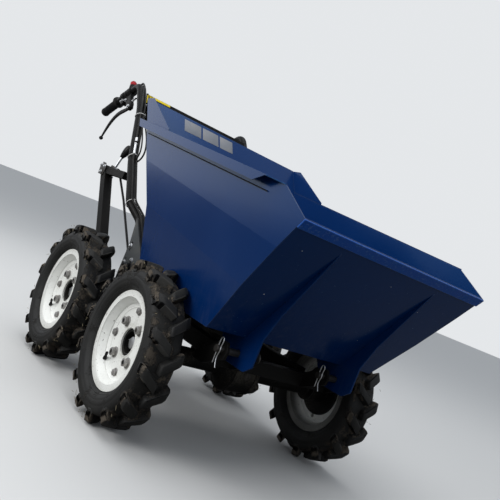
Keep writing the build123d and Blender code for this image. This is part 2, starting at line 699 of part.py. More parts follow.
WHEELS = [
    # name, axle x, side
    ("front_left", FRONT_AXLE_X, 1),
    ("front_right", FRONT_AXLE_X, -1),
    ("rear_left", REAR_AXLE_X, 1),
    ("rear_right", REAR_AXLE_X, -1),
]
for name, axle_x, side in WHEELS:
    centre = (axle_x, side * WHEEL_Y, AXLE_Z)
    handed = Location(centre, (0, 0, 0 if side > 0 else 180))
    with BuildPart() as tyre:
        with Locations(centre):
            add(tyre_form.part)
    finish(tyre, f"tyre_{name}")
    with BuildPart() as rim:
        with Locations(handed):
            add(barrel_form.part)
            add(disc_form.part)
    finish(rim, f"rim_{name}")
    with BuildPart() as hub:
        with Locations(handed):
            add(hub_form.part)
            add(flange_form.part)
    finish(hub, f"hub_{name}")

# Engine
lean = radians(CYLINDER_LEAN)
bore_axis = Vector(cos(lean), 0, sin(lean))
crank = Vector(CRANK_X, 0, CRANK_Z)
with BuildPart() as engine_block:
    add(box((CRANK_X - CRANKCASE_HALF_LENGTH, CRANK_X + CRANKCASE_HALF_LENGTH),
            (-CRANKCASE_HALF_WIDTH, CRANKCASE_HALF_WIDTH), (RAIL_TOP + BED_HEIGHT, CRANKCASE_TOP)))
    fillet(engine_block.edges().filter_by(Axis.Z), CRANKCASE_CORNER)
    top_edges = engine_block.edges().filter_by(Axis.Y).group_by(Axis.Z)[-1]
    fillet(top_edges, CRANKCASE_CORNER)
finish(engine_block, "engine_block")

with BuildPart() as engine_cylinder:
    fin_end = FIN_START + FIN_PITCH * FIN_COUNT
    add(rod(crank, crank + bore_axis * fin_end, CYLINDER_RADIUS))
    for step in range(FIN_COUNT):
        start = crank + bore_axis * (FIN_START + step * FIN_PITCH)
        with BuildSketch(Plane(origin=start, x_dir=(0, 1, 0), z_dir=bore_axis)):
            Rectangle(FIN_SIZE, FIN_SIZE)
        extrude(amount=FIN_SHEET)
    with BuildSketch(Plane(origin=crank + bore_axis * fin_end, x_dir=(0, 1, 0), z_dir=bore_axis)):
        Rectangle(HEAD_SIZE, HEAD_SIZE)
    extrude(amount=HEAD_DEPTH)
    add(engine_block.part, mode=Mode.SUBTRACT)
    split(bisect_by=Plane.YZ.offset(CRANK_X + CRANKCASE_HALF_LENGTH / 2), keep=Keep.TOP)
finish(engine_cylinder, "engine_cylinder")

with BuildPart() as recoil_starter:
    fan_face = -CRANKCASE_HALF_WIDTH - FAN_COVER
    add(rod((CRANK_X, -CRANKCASE_HALF_WIDTH, CRANK_Z), (CRANK_X, fan_face, CRANK_Z), FAN_RADIUS))
    add(rod((CRANK_X, fan_face, CRANK_Z), (CRANK_X, fan_face - STARTER_DEPTH, CRANK_Z), STARTER_RADIUS))
    chamfer(recoil_starter.faces().sort_by(Axis.Y)[0].edges(), STARTER_EDGE)
finish(recoil_starter, "recoil_starter")

with BuildPart() as fuel_tank:
    add(box(TANK_X, (-TANK_HALF_WIDTH, TANK_HALF_WIDTH), TANK_Z))
    fillet(fuel_tank.edges().filter_by(Axis.Z), TANK_CORNER)
    fillet(fuel_tank.faces().sort_by(Axis.Z)[-1].edges(), TANK_CORNER / 2)
    for leg_x in TANK_LEG_X:
        add(box((leg_x - TANK_LEG / 2, leg_x + TANK_LEG / 2),
                (-CRANKCASE_HALF_WIDTH / 2, CRANKCASE_HALF_WIDTH / 2), (CRANKCASE_TOP, TANK_Z[0])))
    add(rod((CRANK_X, 0, TANK_Z[1]), (CRANK_X, 0, TANK_Z[1] + TANK_CAP_HEIGHT), TANK_CAP_RADIUS))
finish(fuel_tank, "fuel_tank")

with BuildPart() as air_cleaner:
    rear_face = CRANK_X - CRANKCASE_HALF_LENGTH
    add(box((rear_face - CLEANER_LENGTH, rear_face), CLEANER_Y, CLEANER_Z))
    fillet(air_cleaner.edges().filter_by(Axis.X), CLEANER_CORNER)
finish(air_cleaner, "air_cleaner")

with BuildPart() as muffler:
    add(box(MUFFLER_X, (FIN_SIZE / 2, FIN_SIZE / 2 + MUFFLER_DEPTH), MUFFLER_Z))
    fillet(muffler.edges().filter_by(Axis.Y), MUFFLER_CORNER)
finish(muffler, "muffler")

with BuildPart() as belt_cover:
    with BuildSketch(Plane.XZ.offset(-CRANKCASE_HALF_WIDTH)) as cover_sketch:
        with Locations((CRANK_X, CRANK_Z)):
            Circle(BELT_TOP_RADIUS)
        with Locations((REAR_AXLE_X, INPUT_Z)):
            Circle(BELT_BOTTOM_RADIUS)
        make_hull()
    extrude(amount=-BELT_COVER)
    add(axle_beam(REAR_AXLE_X), mode=Mode.SUBTRACT)
finish(belt_cover, "belt_cover")

# Handlebars
bar_radii = [radius for x, z, y, radius in BAR_POINTS[1:-1]]
bar_solids = {}
for side, name in ((1, "left"), (-1, "right")):
    points = [(x, side * y, z) for x, z, y, radius in BAR_POINTS]
    with BuildPart() as handlebar:
        add(bent_rod(points, bar_radii, TUBE_RADIUS))
        add(bent_rod(points, bar_radii, TUBE_RADIUS - TUBE_WALL), mode=Mode.SUBTRACT)
    finish(handlebar, f"handlebar_{name}")
    bar_solids[side] = bent_rod(points, bar_radii, TUBE_RADIUS)

bar_end = Vector(BAR_POINTS[-1][0], 0, BAR_POINTS[-1][1])
bar_bend = Vector(BAR_POINTS[-2][0], 0, BAR_POINTS[-2][1])
bar_back = (bar_end - bar_bend).normalized()


def along_bar(distance, side, rise=0.0):
    """Point on the straight rear run of a handlebar, measured back from its top bend."""
    up = Vector(bar_back.Z, 0, -bar_back.X)
    return bar_bend + bar_back * distance + up * rise + Vector(0, side * BAR_Y, 0)


bar_run = (bar_end - bar_bend).length
with BuildPart() as handlebar_grips:
    for side in (1, -1):
        collar = along_bar(bar_run - GRIP_LENGTH, side)
        add(rod(collar, along_bar(bar_run + GRIP_END, side), GRIP_RADIUS))
        add(rod(collar, along_bar(bar_run - GRIP_LENGTH + GRIP_COLLAR, side), GRIP_COLLAR_RADIUS))
        add(rod(collar, along_bar(bar_run, side), TUBE_RADIUS), mode=Mode.SUBTRACT)
finish(handlebar_grips, "handlebar_grips")

# Clutch and brake levers on their clamps
with BuildPart() as control_levers:
    for side in (1, -1):
        points = [(x, side * BAR_Y, z) for x, z in LEVER_POINTS]
        clamp_start = LEVER_POINTS[0][0]
        add(bent_rod(points, LEVER_BEND, LEVER_RADIUS))
        with Locations(points[-1]):
            Sphere(LEVER_BALL)
        clamp_at = (bar_bend.X - clamp_start) / -bar_back.X
        add(rod(along_bar(clamp_at - PERCH_LENGTH / 2, side), along_bar(clamp_at + PERCH_LENGTH / 2, side),
                PERCH_RADIUS))
        add(bar_solids[side], mode=Mode.SUBTRACT)
finish(control_levers, "control_levers")

with BuildPart() as kill_switch:
    base = along_bar(SWITCH_BACK, -1)
    axis_up = (along_bar(0, -1, 1) - along_bar(0, -1)).normalized()
    add(rod(base, base + axis_up * (TUBE_RADIUS + SWITCH_HEIGHT), SWITCH_RADIUS))
    add(rod(base, base + axis_up * (TUBE_RADIUS + SWITCH_HEIGHT + SWITCH_CAP_HEIGHT), SWITCH_CAP_RADIUS))
    add(bar_solids[-1], mode=Mode.SUBTRACT)
    split(bisect_by=Plane(origin=base, z_dir=axis_up), keep=Keep.TOP)
finish(kill_switch, "kill_switch")

console_half = BAR_Y - TUBE_RADIUS - SEAT_GAP
console_line = [CONSOLE_BOTTOM, CONSOLE_TOP]
with BuildPart() as console_plate:
    add(slab(console_line + beside(console_line, -CONSOLE_SHEET)[::-1], -console_half, console_half))
finish(console_plate, "console_plate")

# Gusset plates that carry the handlebars
with BuildPart() as bar_brackets:
    for side in (1, -1):
        add(slab(BRACKET_OUTLINE, side * bar_bracket_y, side * (bar_bracket_y + BRACKET_SHEET)))
    with BuildSketch(Plane.XZ):
        with Locations(*BRACKET_SLOTS):
            SlotOverall(SLOT_LENGTH, BRACKET_SLOT, rotation=90)
        with Locations(*BRACKET_HOLES):
            Circle(BRACKET_SLOT / 2)
    extrude(amount=bar_bracket_y + 2 * BRACKET_SHEET, both=True, mode=Mode.SUBTRACT)
finish(bar_brackets, "bar_brackets")

# Gear change post, its stay, the lever and the rod
post_axis = Vector(POST_TOP[0] - POST_FOOT[0], 0, POST_TOP[1] - POST_FOOT[1])
post_start = Vector(POST_FOOT[0], -BAR_Y, POST_FOOT[1]) - post_axis.normalized() * POST_BOX
post_plane = Plane(origin=post_start, x_dir=(0, 1, 0), z_dir=post_axis)
with BuildPart() as post_form:
    with BuildSketch(post_plane):
        Rectangle(POST_BOX, POST_BOX)
    extrude(amount=post_axis.length + POST_BOX + POST_WALL)
    split(bisect_by=Plane.XY.offset(POST_FOOT[1]), keep=Keep.TOP)
with BuildPart() as gear_post:
    add(post_form.part)
    with BuildSketch(post_plane):
        Rectangle(POST_BOX - 2 * POST_WALL, POST_BOX - 2 * POST_WALL)
    extrude(amount=post_axis.length + POST_BOX, mode=Mode.SUBTRACT)
finish(gear_post, "gear_post")

with BuildPart() as post_bar:
    add(box((POST_BAR_START, BAR_POINTS[3][0] + POST_BAR_BOX / 2),
            (-BAR_Y - POST_BAR_BOX / 2, -BAR_Y + POST_BAR_BOX / 2),
            (POST_BAR_Z - POST_BAR_BOX, POST_BAR_Z)))
    add(bar_solids[-1], mode=Mode.SUBTRACT)
    add(post_form.part, mode=Mode.SUBTRACT)
finish(post_bar, "post_bar")

with BuildPart() as gear_lever:
    add(rod(GEAR_LEVER_ROOT, GEAR_LEVER_TOP, GEAR_LEVER_RADIUS))
    add(rod(GEAR_LEVER_TOP, GEAR_KNOB_TOP, GEAR_LEVER_RADIUS))
    knob_axis = Vector(*GEAR_KNOB_TOP) - Vector(*GEAR_LEVER_TOP)
    knob_mid = Vector(*GEAR_LEVER_TOP) + knob_axis * GEAR_KNOB_SEAT
    with Locations(knob_mid):
        Sphere(GEAR_KNOB_RADIUS)
finish(gear_lever, "gear_lever")

with BuildPart() as shift_rod:
    rod_points = [(x, -SHIFT_ROD_Y, z) for x, z in SHIFT_ROD_POINTS]
    add(bent_rod(rod_points, SHIFT_ROD_BEND, SHIFT_ROD_RADIUS))
    foot = rod_points[-1]
    add(rod(foot, (foot[0], -bar_bracket_y, foot[2]), SHIFT_ROD_RADIUS))
    add(gear_lever.part, mode=Mode.SUBTRACT)
finish(shift_rod, "shift_rod")

# Control cables strapped to the front of the right-hand handlebar
bar_side_view = [(x, z) for x, z, y, radius in BAR_POINTS[:-1]]
cable_side_view = beside(bar_side_view, -CABLE_STANDOFF)
bar_halves = [y for x, z, y, radius in BAR_POINTS[:-1]]
with BuildPart() as control_cables:
    for offset in (-CABLE_SPREAD, CABLE_SPREAD):
        points = [(x, -y + offset, z) for (x, z), y in zip(cable_side_view, bar_halves)]
        foot = (points[0][0], points[0][1], RAIL_TOP + CROSS_BOX + SEAT_GAP)
        add(bent_rod([foot, *points], CABLE_BEND, CABLE_RADIUS))
finish(control_cables, "control_cables")
print(f"control_cables: every bend {CABLE_BEND} mm radius on a {2 * CABLE_RADIUS} mm cable")
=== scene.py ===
import json
import math
import random

import bmesh
import bpy
from mathutils import Matrix, Vector

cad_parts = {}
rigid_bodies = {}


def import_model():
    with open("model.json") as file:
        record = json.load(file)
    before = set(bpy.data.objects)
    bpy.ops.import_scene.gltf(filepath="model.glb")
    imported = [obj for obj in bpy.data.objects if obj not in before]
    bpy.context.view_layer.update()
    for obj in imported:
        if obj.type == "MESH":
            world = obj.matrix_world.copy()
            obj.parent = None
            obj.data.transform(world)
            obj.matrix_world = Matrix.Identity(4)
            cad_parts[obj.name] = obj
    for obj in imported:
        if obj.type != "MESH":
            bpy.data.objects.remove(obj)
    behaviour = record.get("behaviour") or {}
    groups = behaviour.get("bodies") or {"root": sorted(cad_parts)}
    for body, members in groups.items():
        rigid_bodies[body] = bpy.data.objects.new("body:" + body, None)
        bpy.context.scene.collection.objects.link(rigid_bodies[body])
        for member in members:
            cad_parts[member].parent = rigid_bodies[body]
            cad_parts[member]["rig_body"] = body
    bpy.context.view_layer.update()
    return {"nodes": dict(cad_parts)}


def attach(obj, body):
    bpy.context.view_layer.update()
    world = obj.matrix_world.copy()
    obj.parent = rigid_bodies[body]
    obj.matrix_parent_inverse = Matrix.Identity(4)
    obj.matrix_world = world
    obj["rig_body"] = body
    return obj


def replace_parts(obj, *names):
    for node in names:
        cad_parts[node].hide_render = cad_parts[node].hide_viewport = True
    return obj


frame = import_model()
nodes = frame["nodes"]

# Places on the machine, in metres
FRONT_AXLE = Vector((0.38, 0, 0.232))
REAR_AXLE = Vector((-0.184, 0, 0.232))
WHEEL_Y = 0.386
BAR_Y = 0.28
CRANK = Vector((-0.13, 0, 0.424))
LOW_PULLEY = Vector((-0.184, 0, 0.236))
WHEELS = {
    "front_left": (FRONT_AXLE, 1),
    "front_right": (FRONT_AXLE, -1),
    "rear_left": (REAR_AXLE, 1),
    "rear_right": (REAR_AXLE, -1),
}


class Value:
    """One output of a material's nodes; arithmetic on it adds Math nodes."""

    def __init__(self, paint, socket):
        self.paint = paint
        self.socket = socket

    def math(self, operation, *inputs, clamp=False):
        return self.paint.node("Math", {"operation": operation, "use_clamp": clamp}, *inputs)

    def __add__(self, other):
        return self.math("ADD", self, other)

    def __sub__(self, other):
        return self.math("SUBTRACT", self, other)

    def __mul__(self, other):
        return self.math("MULTIPLY", self, other)

    def __pow__(self, other):
        return self.math("POWER", self, other)

    def __rsub__(self, other):
        return self.math("SUBTRACT", other, self)

    __radd__ = __add__
    __rmul__ = __mul__

    def clipped(self):
        return self.math("ADD", self, 0.0, clamp=True)

    def size(self):
        return self.math("ABSOLUTE", self)


class Paint:
    """One material's node tree."""

    def __init__(self, name):
        self.material = bpy.data.materials.new(name)
        self.material.use_nodes = True
        self.tree = self.material.node_tree
        self.tree.nodes.clear()
        self.place = self.node("TexCoord", out="Object")

    def node(self, kind, settings=None, *inputs, out=0, **named):
        made = self.tree.nodes.new("ShaderNode" + kind)
        for key, setting in (settings or {}).items():
            setattr(made, key, setting)
        for socket, value in zip(made.inputs, inputs):
            self.feed(socket, value)
        for key, value in named.items():
            self.feed(made.inputs[key.replace("_", " ")], value)
        return Value(self, made.outputs[out])

    def feed(self, socket, value):
        """Links a Value to an input, or sets it to a number or colour."""
        if isinstance(value, Value):
            self.tree.links.new(value.socket, socket)
        elif socket.type == "RGBA":
            socket.default_value = (*value, 1)
        else:
            socket.default_value = value

    def noise(self, scale, detail=4.0, rough=0.55, stretch=None, seed=0.0):
        where = self.place
        if stretch or seed:
            where = self.node("Mapping", None, Vector=where, Scale=stretch or (1, 1, 1),
                              Location=(seed, seed, seed))
        return self.node("TexNoise", None, Vector=where, Scale=scale, Detail=detail, Roughness=rough)

    def fade(self, value, low, high):
        return self.node("MapRange", {"interpolation_type": "SMOOTHSTEP"}, value, low, high)

    def axis(self, name):
        return self.node("SeparateXYZ", None, self.place, out=name)

    def reach(self, axle):
        """Distance from a wheel's axle."""
        run_x = self.axis("X") - axle.x
        run_z = self.axis("Z") - axle.z
        return (run_x * run_x + run_z * run_z) ** 0.5

    def edges(self, radius=0.003):
        """1 at a bent edge or corner, 0 on a flat face."""
        rounded = self.node("Bevel", {"samples": 6}, radius)
        flat = self.node("NewGeometry", out="Normal")
        near = self.node("VectorMath", {"operation": "DOT_PRODUCT"}, rounded, flat, out="Value")
        return self.fade(near, 0.995, 0.9)

    def tint(self, factor, first, second):
        mixer = self.tree.nodes.new("ShaderNodeMix")
        mixer.data_type = "RGBA"
        for place, value in ((0, factor), (6, first), (7, second)):
            self.feed(mixer.inputs[place], value)
        return Value(self, mixer.outputs[2])

    def finish(self, colour, rough, metal=0.0, coat=0.0, coat_rough=0.05, bump=None, depth=0.001,
               specular=0.5, sheen=(1, 1, 1)):
        """Joins everything to one Principled shader."""
        extra = {}
        if bump is not None:
            extra["Normal"] = self.node("Bump", None, Height=bump, Distance=depth, Strength=1.0)
        shader = self.node("BsdfPrincipled", None, Base_Color=colour, Roughness=rough, Metallic=metal,
                           Coat_Weight=coat, Coat_Roughness=coat_rough, Specular_IOR_Level=specular,
                           Specular_Tint=sheen, **extra)
        self.tree.links.new(shader.socket, self.tree.nodes.new("ShaderNodeOutputMaterial").inputs[0])
        return self.material


DUST = (0.3, 0.27, 0.22)
MUD = (0.042, 0.034, 0.026)
DRY_MUD = (0.12, 0.1, 0.078)


def shaded(colour, factor):
    return tuple(min(1.0, part * factor) for part in colour)


def make_skip_blue(name, inside=False):
    """Glossy deep blue paint with road film low down, scuffs and chipped edges."""
    p = Paint(name)
    height = p.axis("Z")
    broad = p.noise(3.1, 3.0)
    streaks = p.noise(9.0, 5.0, 0.6, stretch=(6.0, 6.0, 0.7))
    specks = p.noise(260.0, 2.0)
    low = p.fade(height, 0.62, 0.34)
    film = (low * p.fade(streaks, 0.46, 0.76) * 0.035 + p.fade(broad, 0.52, 0.75) * 0.006).clipped()
    spots = p.fade(specks, 0.68, 0.73) * (0.03 + low * 0.09)
    scratch_lines = p.noise(30.0, 6.0, 0.75, stretch=(0.35, 3.0, 5.0), seed=4.0)
    scuffs = p.fade(scratch_lines, 0.645, 0.7) * (0.8 if inside else 0.12)
    worn = p.fade(p.edges(0.0022) * (0.55 + p.noise(75.0, 4.0) * 0.9), 0.7, 0.86)
    blue = p.tint(broad, (0.0004, 0.015, 0.078), (0.0008, 0.021, 0.104))
    colour = p.tint((film + spots).clipped(), blue, DUST)
    colour = p.tint(scuffs.clipped(), colour, (0.045, 0.085, 0.18))
    colour = p.tint(worn * 0.45, colour, (0.07, 0.1, 0.17))
    rough = (0.17 + broad * 0.1 + film * 0.5 + scuffs * 0.35 + spots * 0.3).clipped()
    waves = p.noise(2.3, 1.0) * 0.9 + p.noise(420.0, 2.0) * 0.02
    return p.finish(colour, rough, coat=(0.04 - film * 0.3 - scuffs * 0.1).clipped(), coat_rough=0.06,
                    bump=waves, depth=0.0016, specular=0.36, sheen=(0.1, 0.42, 0.92))


def make_lip_blue(name):
    """The same blue where loads have rubbed it: dusty, scratched and chipped to primer."""
    p = Paint(name)
    across = p.noise(34.0, 6.0, 0.7)
    chips = p.fade(p.noise(130.0, 5.0, 0.62), 0.575, 0.61)
    worn = p.fade(p.edges(0.004) + p.noise(60.0, 4.0, seed=2.0) * 0.6, 0.75, 1.15)
    film = p.fade(across, 0.4, 0.7)
    colour = p.tint(film * 0.3, (0.002, 0.052, 0.29), (0.012, 0.085, 0.3))
    colour = p.tint(chips * 0.35, colour, (0.1, 0.2, 0.38))
    colour = p.tint(worn * 0.25, colour, (0.14, 0.26, 0.48))
    rough = (0.3 + film * 0.3 + chips * 0.2).clipped()
    height = across * 0.3 - chips * 0.5
    return p.finish(colour, rough, bump=height, depth=0.0006, specular=0.35, sheen=(0.35, 0.6, 1.0))


def make_enamel(name, colour, rough, dust, coat=0.0, edge=0.4):
    """Sprayed paint with dust on it and rubbed edges."""
    p = Paint(name)
    broad = p.noise(7.0, 4.0)
    fine = p.noise(380.0, 3.0)
    grime = p.fade(broad * 0.7 + fine * 0.3, 0.47, 0.68) * dust
    worn = p.fade(p.edges(0.002) * (0.5 + p.noise(90.0, 4.0)), 0.75, 0.95) * edge
    shade = p.tint(broad, shaded(colour, 0.8), shaded(colour, 1.2))
    tone = p.tint(grime, shade, DUST)
    tone = p.tint(worn, tone, (0.16, 0.16, 0.165))
    return p.finish(tone, (rough + grime * 0.45 + fine * 0.06).clipped(), coat=coat, coat_rough=0.2,
                    bump=fine, depth=0.00025, specular=0.1)


def make_metal(name, colour, rough, grime, rust=0.0):
    """Plated or bare metal, dulled in patches."""
    p = Paint(name)
    broad = p.noise(18.0, 5.0)
    fine = p.noise(300.0, 4.0)
    dull = p.fade(broad, 0.42, 0.7) * grime
    spots = p.fade(p.noise(85.0, 6.0, 0.7), 0.55, 0.66) * rust
    tone = p.tint(dull, colour, shaded(colour, 0.45))
    tone = p.tint(spots, tone, (0.19, 0.085, 0.035))
    return p.finish(tone, (rough + dull * 0.3 + spots * 0.4 + fine * 0.08).clipped(),
                    metal=(1 - spots * 0.8).clipped(), bump=fine, depth=0.0002)


def make_plastic(name, colour, rough, dust, grain=900.0):
    """Moulded plastic or rubber with a fine texture and dust in it."""
    p = Paint(name)
    fine = p.noise(grain, 2.0)
    broad = p.noise(14.0, 4.0)
    grime = p.fade(broad * 0.75 + fine * 0.25, 0.48, 0.7) * dust
    tone = p.tint(grime, p.tint(broad, colour, shaded(colour, 1.25)), DUST)
    return p.finish(tone, (rough + grime * 0.35 + broad * 0.08).clipped(), bump=fine, depth=0.0002,
                    specular=0.16)


def make_tyre(name, axle, side):
    """Black rubber; mud lies between the bars, on their ends and over the tread."""
    p = Paint(name)
    across = p.axis("Y") - side * WHEEL_Y
    reach = p.reach(axle)
    lumps = p.noise(26.0, 6.0, 0.62, seed=axle.x + side)
    fine = p.noise(240.0, 4.0, 0.6)
    tread = p.fade(reach, 0.186, 0.214)
    tip = p.fade(reach, 0.222, 0.231)
    shoulder = p.fade(across.size(), 0.03, 0.05)
    caked = lumps * 0.8 + fine * 0.25 + tread * 0.07 - tip * 0.16 + shoulder * tread * 0.08
    caked = p.fade(caked, 0.58, 0.68)
    smear = p.fade(p.noise(11.0, 5.0, seed=2 + side), 0.42, 0.68) * (0.3 + tread * 0.35)
    rubber = p.tint(lumps, (0.007, 0.007, 0.007), (0.015, 0.015, 0.0145))
    film = p.tint(smear * 0.7, rubber, (0.036, 0.035, 0.031))
    earth = p.tint(fine, MUD, DRY_MUD)
    colour = p.tint((caked * (0.12 + tread * 0.8)).clipped(), film, earth)
    rough = (0.58 + smear * 0.2 + caked * 0.3).clipped()
    height = fine * 0.25 + caked * lumps * 1.2 + caked * 0.5
    return p.finish(colour, rough, bump=height, depth=0.0022, specular=0.25)


def make_rim(name, axle, side):
    """Off-white paint, dirty towards the flange and round the nuts; painted shade darkens its inner side."""
    p = Paint(name)
    reach = p.reach(axle)
    broad = p.noise(10.0, 5.0, seed=axle.x * 3 + side)
    fine = p.noise(190.0, 5.0, 0.65)
    ring = p.fade(reach, 0.118, 0.142) * 0.5 + p.fade(reach, 0.062, 0.036) * 0.45
    grime = p.fade(broad * 0.6 + fine * 0.4 + ring * 0.28, 0.5, 0.78)
    specks = p.fade(p.noise(150.0, 3.0, seed=7.0), 0.665, 0.7)
    white = p.tint(broad, (0.8, 0.81, 0.77), (0.87, 0.87, 0.83))
    colour = p.tint(grime * 0.5, white, (0.3, 0.285, 0.235))
    colour = p.tint(specks * 0.8, colour, (0.09, 0.075, 0.055))
    # Painted shade: the side that faces the machine is darkened nearly to black.
    painted_shade_inner = p.fade(p.axis("Y") * side, WHEEL_Y, WHEEL_Y - 0.024)
    colour = p.tint(painted_shade_inner * (0.7 + broad * 0.3), colour, (0.026, 0.023, 0.019))
    return p.finish(colour, (0.34 + grime * 0.35 + specks * 0.2).clipped(), coat=0.25, coat_rough=0.2,
                    bump=fine + specks * 0.6, depth=0.0003)


FRAME_BLACK = make_enamel("frame_black_enamel", (0.006, 0.0058, 0.0055), 0.5, dust=0.01, edge=0.1)
BAR_BLACK = make_enamel("handlebar_black_enamel", (0.007, 0.007, 0.0072), 0.38, 0.012, 0.02, edge=0.12)
BRACKET_GREY = make_enamel("bracket_grey_enamel", (0.06, 0.064, 0.066), 0.42, dust=0.2, coat=0.1)
AXLE_BLACK = make_enamel("axle_black_enamel", (0.008, 0.0078, 0.0075), 0.52, dust=0.35, edge=0.2)
HUB_BLACK = make_enamel("hub_black_enamel", (0.008, 0.008, 0.0078), 0.45, dust=0.35)
TANK_BLACK = make_enamel("tank_black_enamel", (0.009, 0.009, 0.0095), 0.22, dust=0.12, coat=0.5)
ZINC = make_metal("zinc_plate", (0.62, 0.63, 0.64), 0.3, grime=0.5)
STEEL = make_metal("dull_steel", (0.36, 0.35, 0.34), 0.42, grime=0.5, rust=0.4)
GREASED = make_metal("greased_steel", (0.085, 0.08, 0.075), 0.5, grime=0.8)
ALLOY = make_metal("cast_alloy", (0.42, 0.425, 0.43), 0.48, grime=0.6)
HEATED = make_metal("heat_marked_steel", (0.3, 0.27, 0.24), 0.45, grime=0.6, rust=0.5)
GRIP_RUBBER = make_plastic("grip_rubber", (0.007, 0.007, 0.0073), 0.66, dust=0.04)
BLACK_PLASTIC = make_plastic("black_plastic", (0.007, 0.007, 0.0073), 0.48, dust=0.04)
CABLE_JACKET = make_plastic("cable_jacket", (0.008, 0.008, 0.008), 0.38, dust=0.08)
KNOB_BLACK = make_plastic("knob_black", (0.0075, 0.0075, 0.0078), 0.26, dust=0.04)
RED_PLASTIC = make_plastic("red_switch_plastic", (0.3, 0.008, 0.014), 0.38, dust=0.12)
TIE_WHITE = make_plastic("tie_white_nylon", (0.62, 0.62, 0.6), 0.45, dust=0.2)
LABEL_YELLOW = make_plastic("blank_yellow_label", (0.72, 0.56, 0.02), 0.4, dust=0.15)
LABEL_SILVER = make_plastic("blank_silver_label", (0.15, 0.16, 0.18), 0.36, dust=0.35)
DRIED_MUD = make_plastic("dried_mud", (0.06, 0.047, 0.034), 0.92, dust=0.5, grain=420.0)
DRY_GRASS = make_plastic("dry_grass", (0.2, 0.17, 0.11), 0.85, dust=0.3, grain=300.0)
CHIP_PRIMER = make_plastic("bare_primer", (0.46, 0.48, 0.5), 0.55, dust=0.3)
SKIP_BLUE = make_skip_blue("skip_blue_gloss")
SKIP_INSIDE = make_skip_blue("skip_blue_scuffed", inside=True)
LIP_BLUE = make_lip_blue("skip_blue_worn")


def added(name, data):
    """New object in the scene."""
    item = bpy.data.objects.new(name, data)
    bpy.context.scene.collection.objects.link(item)
    return item


def as_mesh(form, name):
    """Mesh out of a finished form, which ends with it."""
    mesh = bpy.data.meshes.new(name)
    form.to_mesh(mesh)
    form.free()
    return mesh


def place_piece(form, name, body, material, smooth):
    """Turns a finished form into a piece of the machine that rides on a body."""
    piece = added(name, as_mesh(form, name))
    coat(piece.data, material, smooth)
    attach(piece, body)
    return piece


def coat(mesh, material, smooth):
    """Puts one material on a mesh and shades it smooth up to an angle in degrees."""
    mesh.materials.clear()
    mesh.materials.append(material)
    mesh.polygons.foreach_set("use_smooth", [True] * len(mesh.polygons))
    mesh.set_sharp_from_angle(angle=math.radians(smooth))


def dress(node, material, edge, smooth=32.0):
    """Copy of a CAD node with its sharp edges broken, standing for the node."""
    bm = bmesh.new()
    bm.from_mesh(nodes[node].data)
    bmesh.ops.remove_doubles(bm, verts=bm.verts, dist=0.00002)
    bmesh.ops.dissolve_limit(bm, angle_limit=math.radians(0.6), verts=bm.verts, edges=bm.edges)
    piece = place_piece(bm, node + "_finished", nodes[node]["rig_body"], material, smooth)
    bevel = piece.modifiers.new("broken_edges", "BEVEL")
    bevel.width = edge
    bevel.segments = 2
    bevel.limit_method = "ANGLE"
    bevel.angle_limit = math.radians(smooth)
    bevel.use_clamp_overlap = True
    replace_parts(piece, node)


# Solids with the width of their broken edges, then those that stay as they are
for node, material, edge in (
        ("skip_side_left", SKIP_BLUE, 0.0009), ("skip_side_right", SKIP_BLUE, 0.0009),
        ("skip_fins", SKIP_BLUE, 0.0009), ("skip_rear_wall", SKIP_INSIDE, 0.0009),
        ("skip_pan", SKIP_INSIDE, 0.0009), ("skip_lip_bar", LIP_BLUE, 0.0012),
        ("chassis_frame", FRAME_BLACK, 0.0012), ("gearbox", AXLE_BLACK, 0.002),
        ("belt_cover", BLACK_PLASTIC, 0.003), ("gear_post", FRAME_BLACK, 0.0015),
        ("post_bar", FRAME_BLACK, 0.0015), ("console_plate", FRAME_BLACK, 0.0006),
        ("bar_brackets", BRACKET_GREY, 0.0008), ("engine_block", ALLOY, 0.002),
        ("engine_cylinder", ALLOY, 0.0005), ("fuel_tank", TANK_BLACK, 0.0015),
        ("air_cleaner", BLACK_PLASTIC, 0.002), ("muffler", HEATED, 0.002),
        ("recoil_starter", TANK_BLACK, 0.002), ("rest_pads", GRIP_RUBBER, 0.0015),
        ("pivot_pins", GREASED, 0.0008), ("front_axle", AXLE_BLACK, 0.001),
        ("rear_axle", AXLE_BLACK, 0.001)):
    dress(node, material, edge, smooth=4.0 if "side" in node else 32.0)
KEPT = {"propshaft": AXLE_BLACK, "handlebar_left": BAR_BLACK, "handlebar_right": BAR_BLACK,
        "shift_rod": BAR_BLACK, "kill_switch": BLACK_PLASTIC,
        **{"hub_" + wheel: HUB_BLACK for wheel in WHEELS}}
for node, material in KEPT.items():
    coat(nodes[node].data, material, 32)


UPRIGHT = Matrix.Rotation(math.pi / 2, 4, "X")
WASHER_THICK = 0.0016
WELD = 0.00001


def turned(profile, steps=64, ring=True):
    """Shell turned about the Y axis from (radius, outward) points; a ring is closed on itself."""
    bm = bmesh.new()
    points = [bm.verts.new((radius, out, 0)) for radius, out in profile]
    edges = [bm.edges.new(pair) for pair in zip(points, points[1:])]
    if ring:
        edges.append(bm.edges.new((points[-1], points[0])))
    bmesh.ops.spin(bm, geom=points + edges, cent=(0, 0, 0), axis=(0, 1, 0), angle=math.tau,
                   steps=steps, use_merge=True, use_duplicate=False)
    bmesh.ops.remove_doubles(bm, verts=bm.verts, dist=WELD)
    bmesh.ops.recalc_face_normals(bm, faces=bm.faces)
    return bm


def joined(forms):
    """One bmesh out of several."""
    whole = bmesh.new()
    for form in forms:
        carrier = as_mesh(form, "carrier")
        whole.from_mesh(carrier)
        bpy.data.meshes.remove(carrier)
    return whole


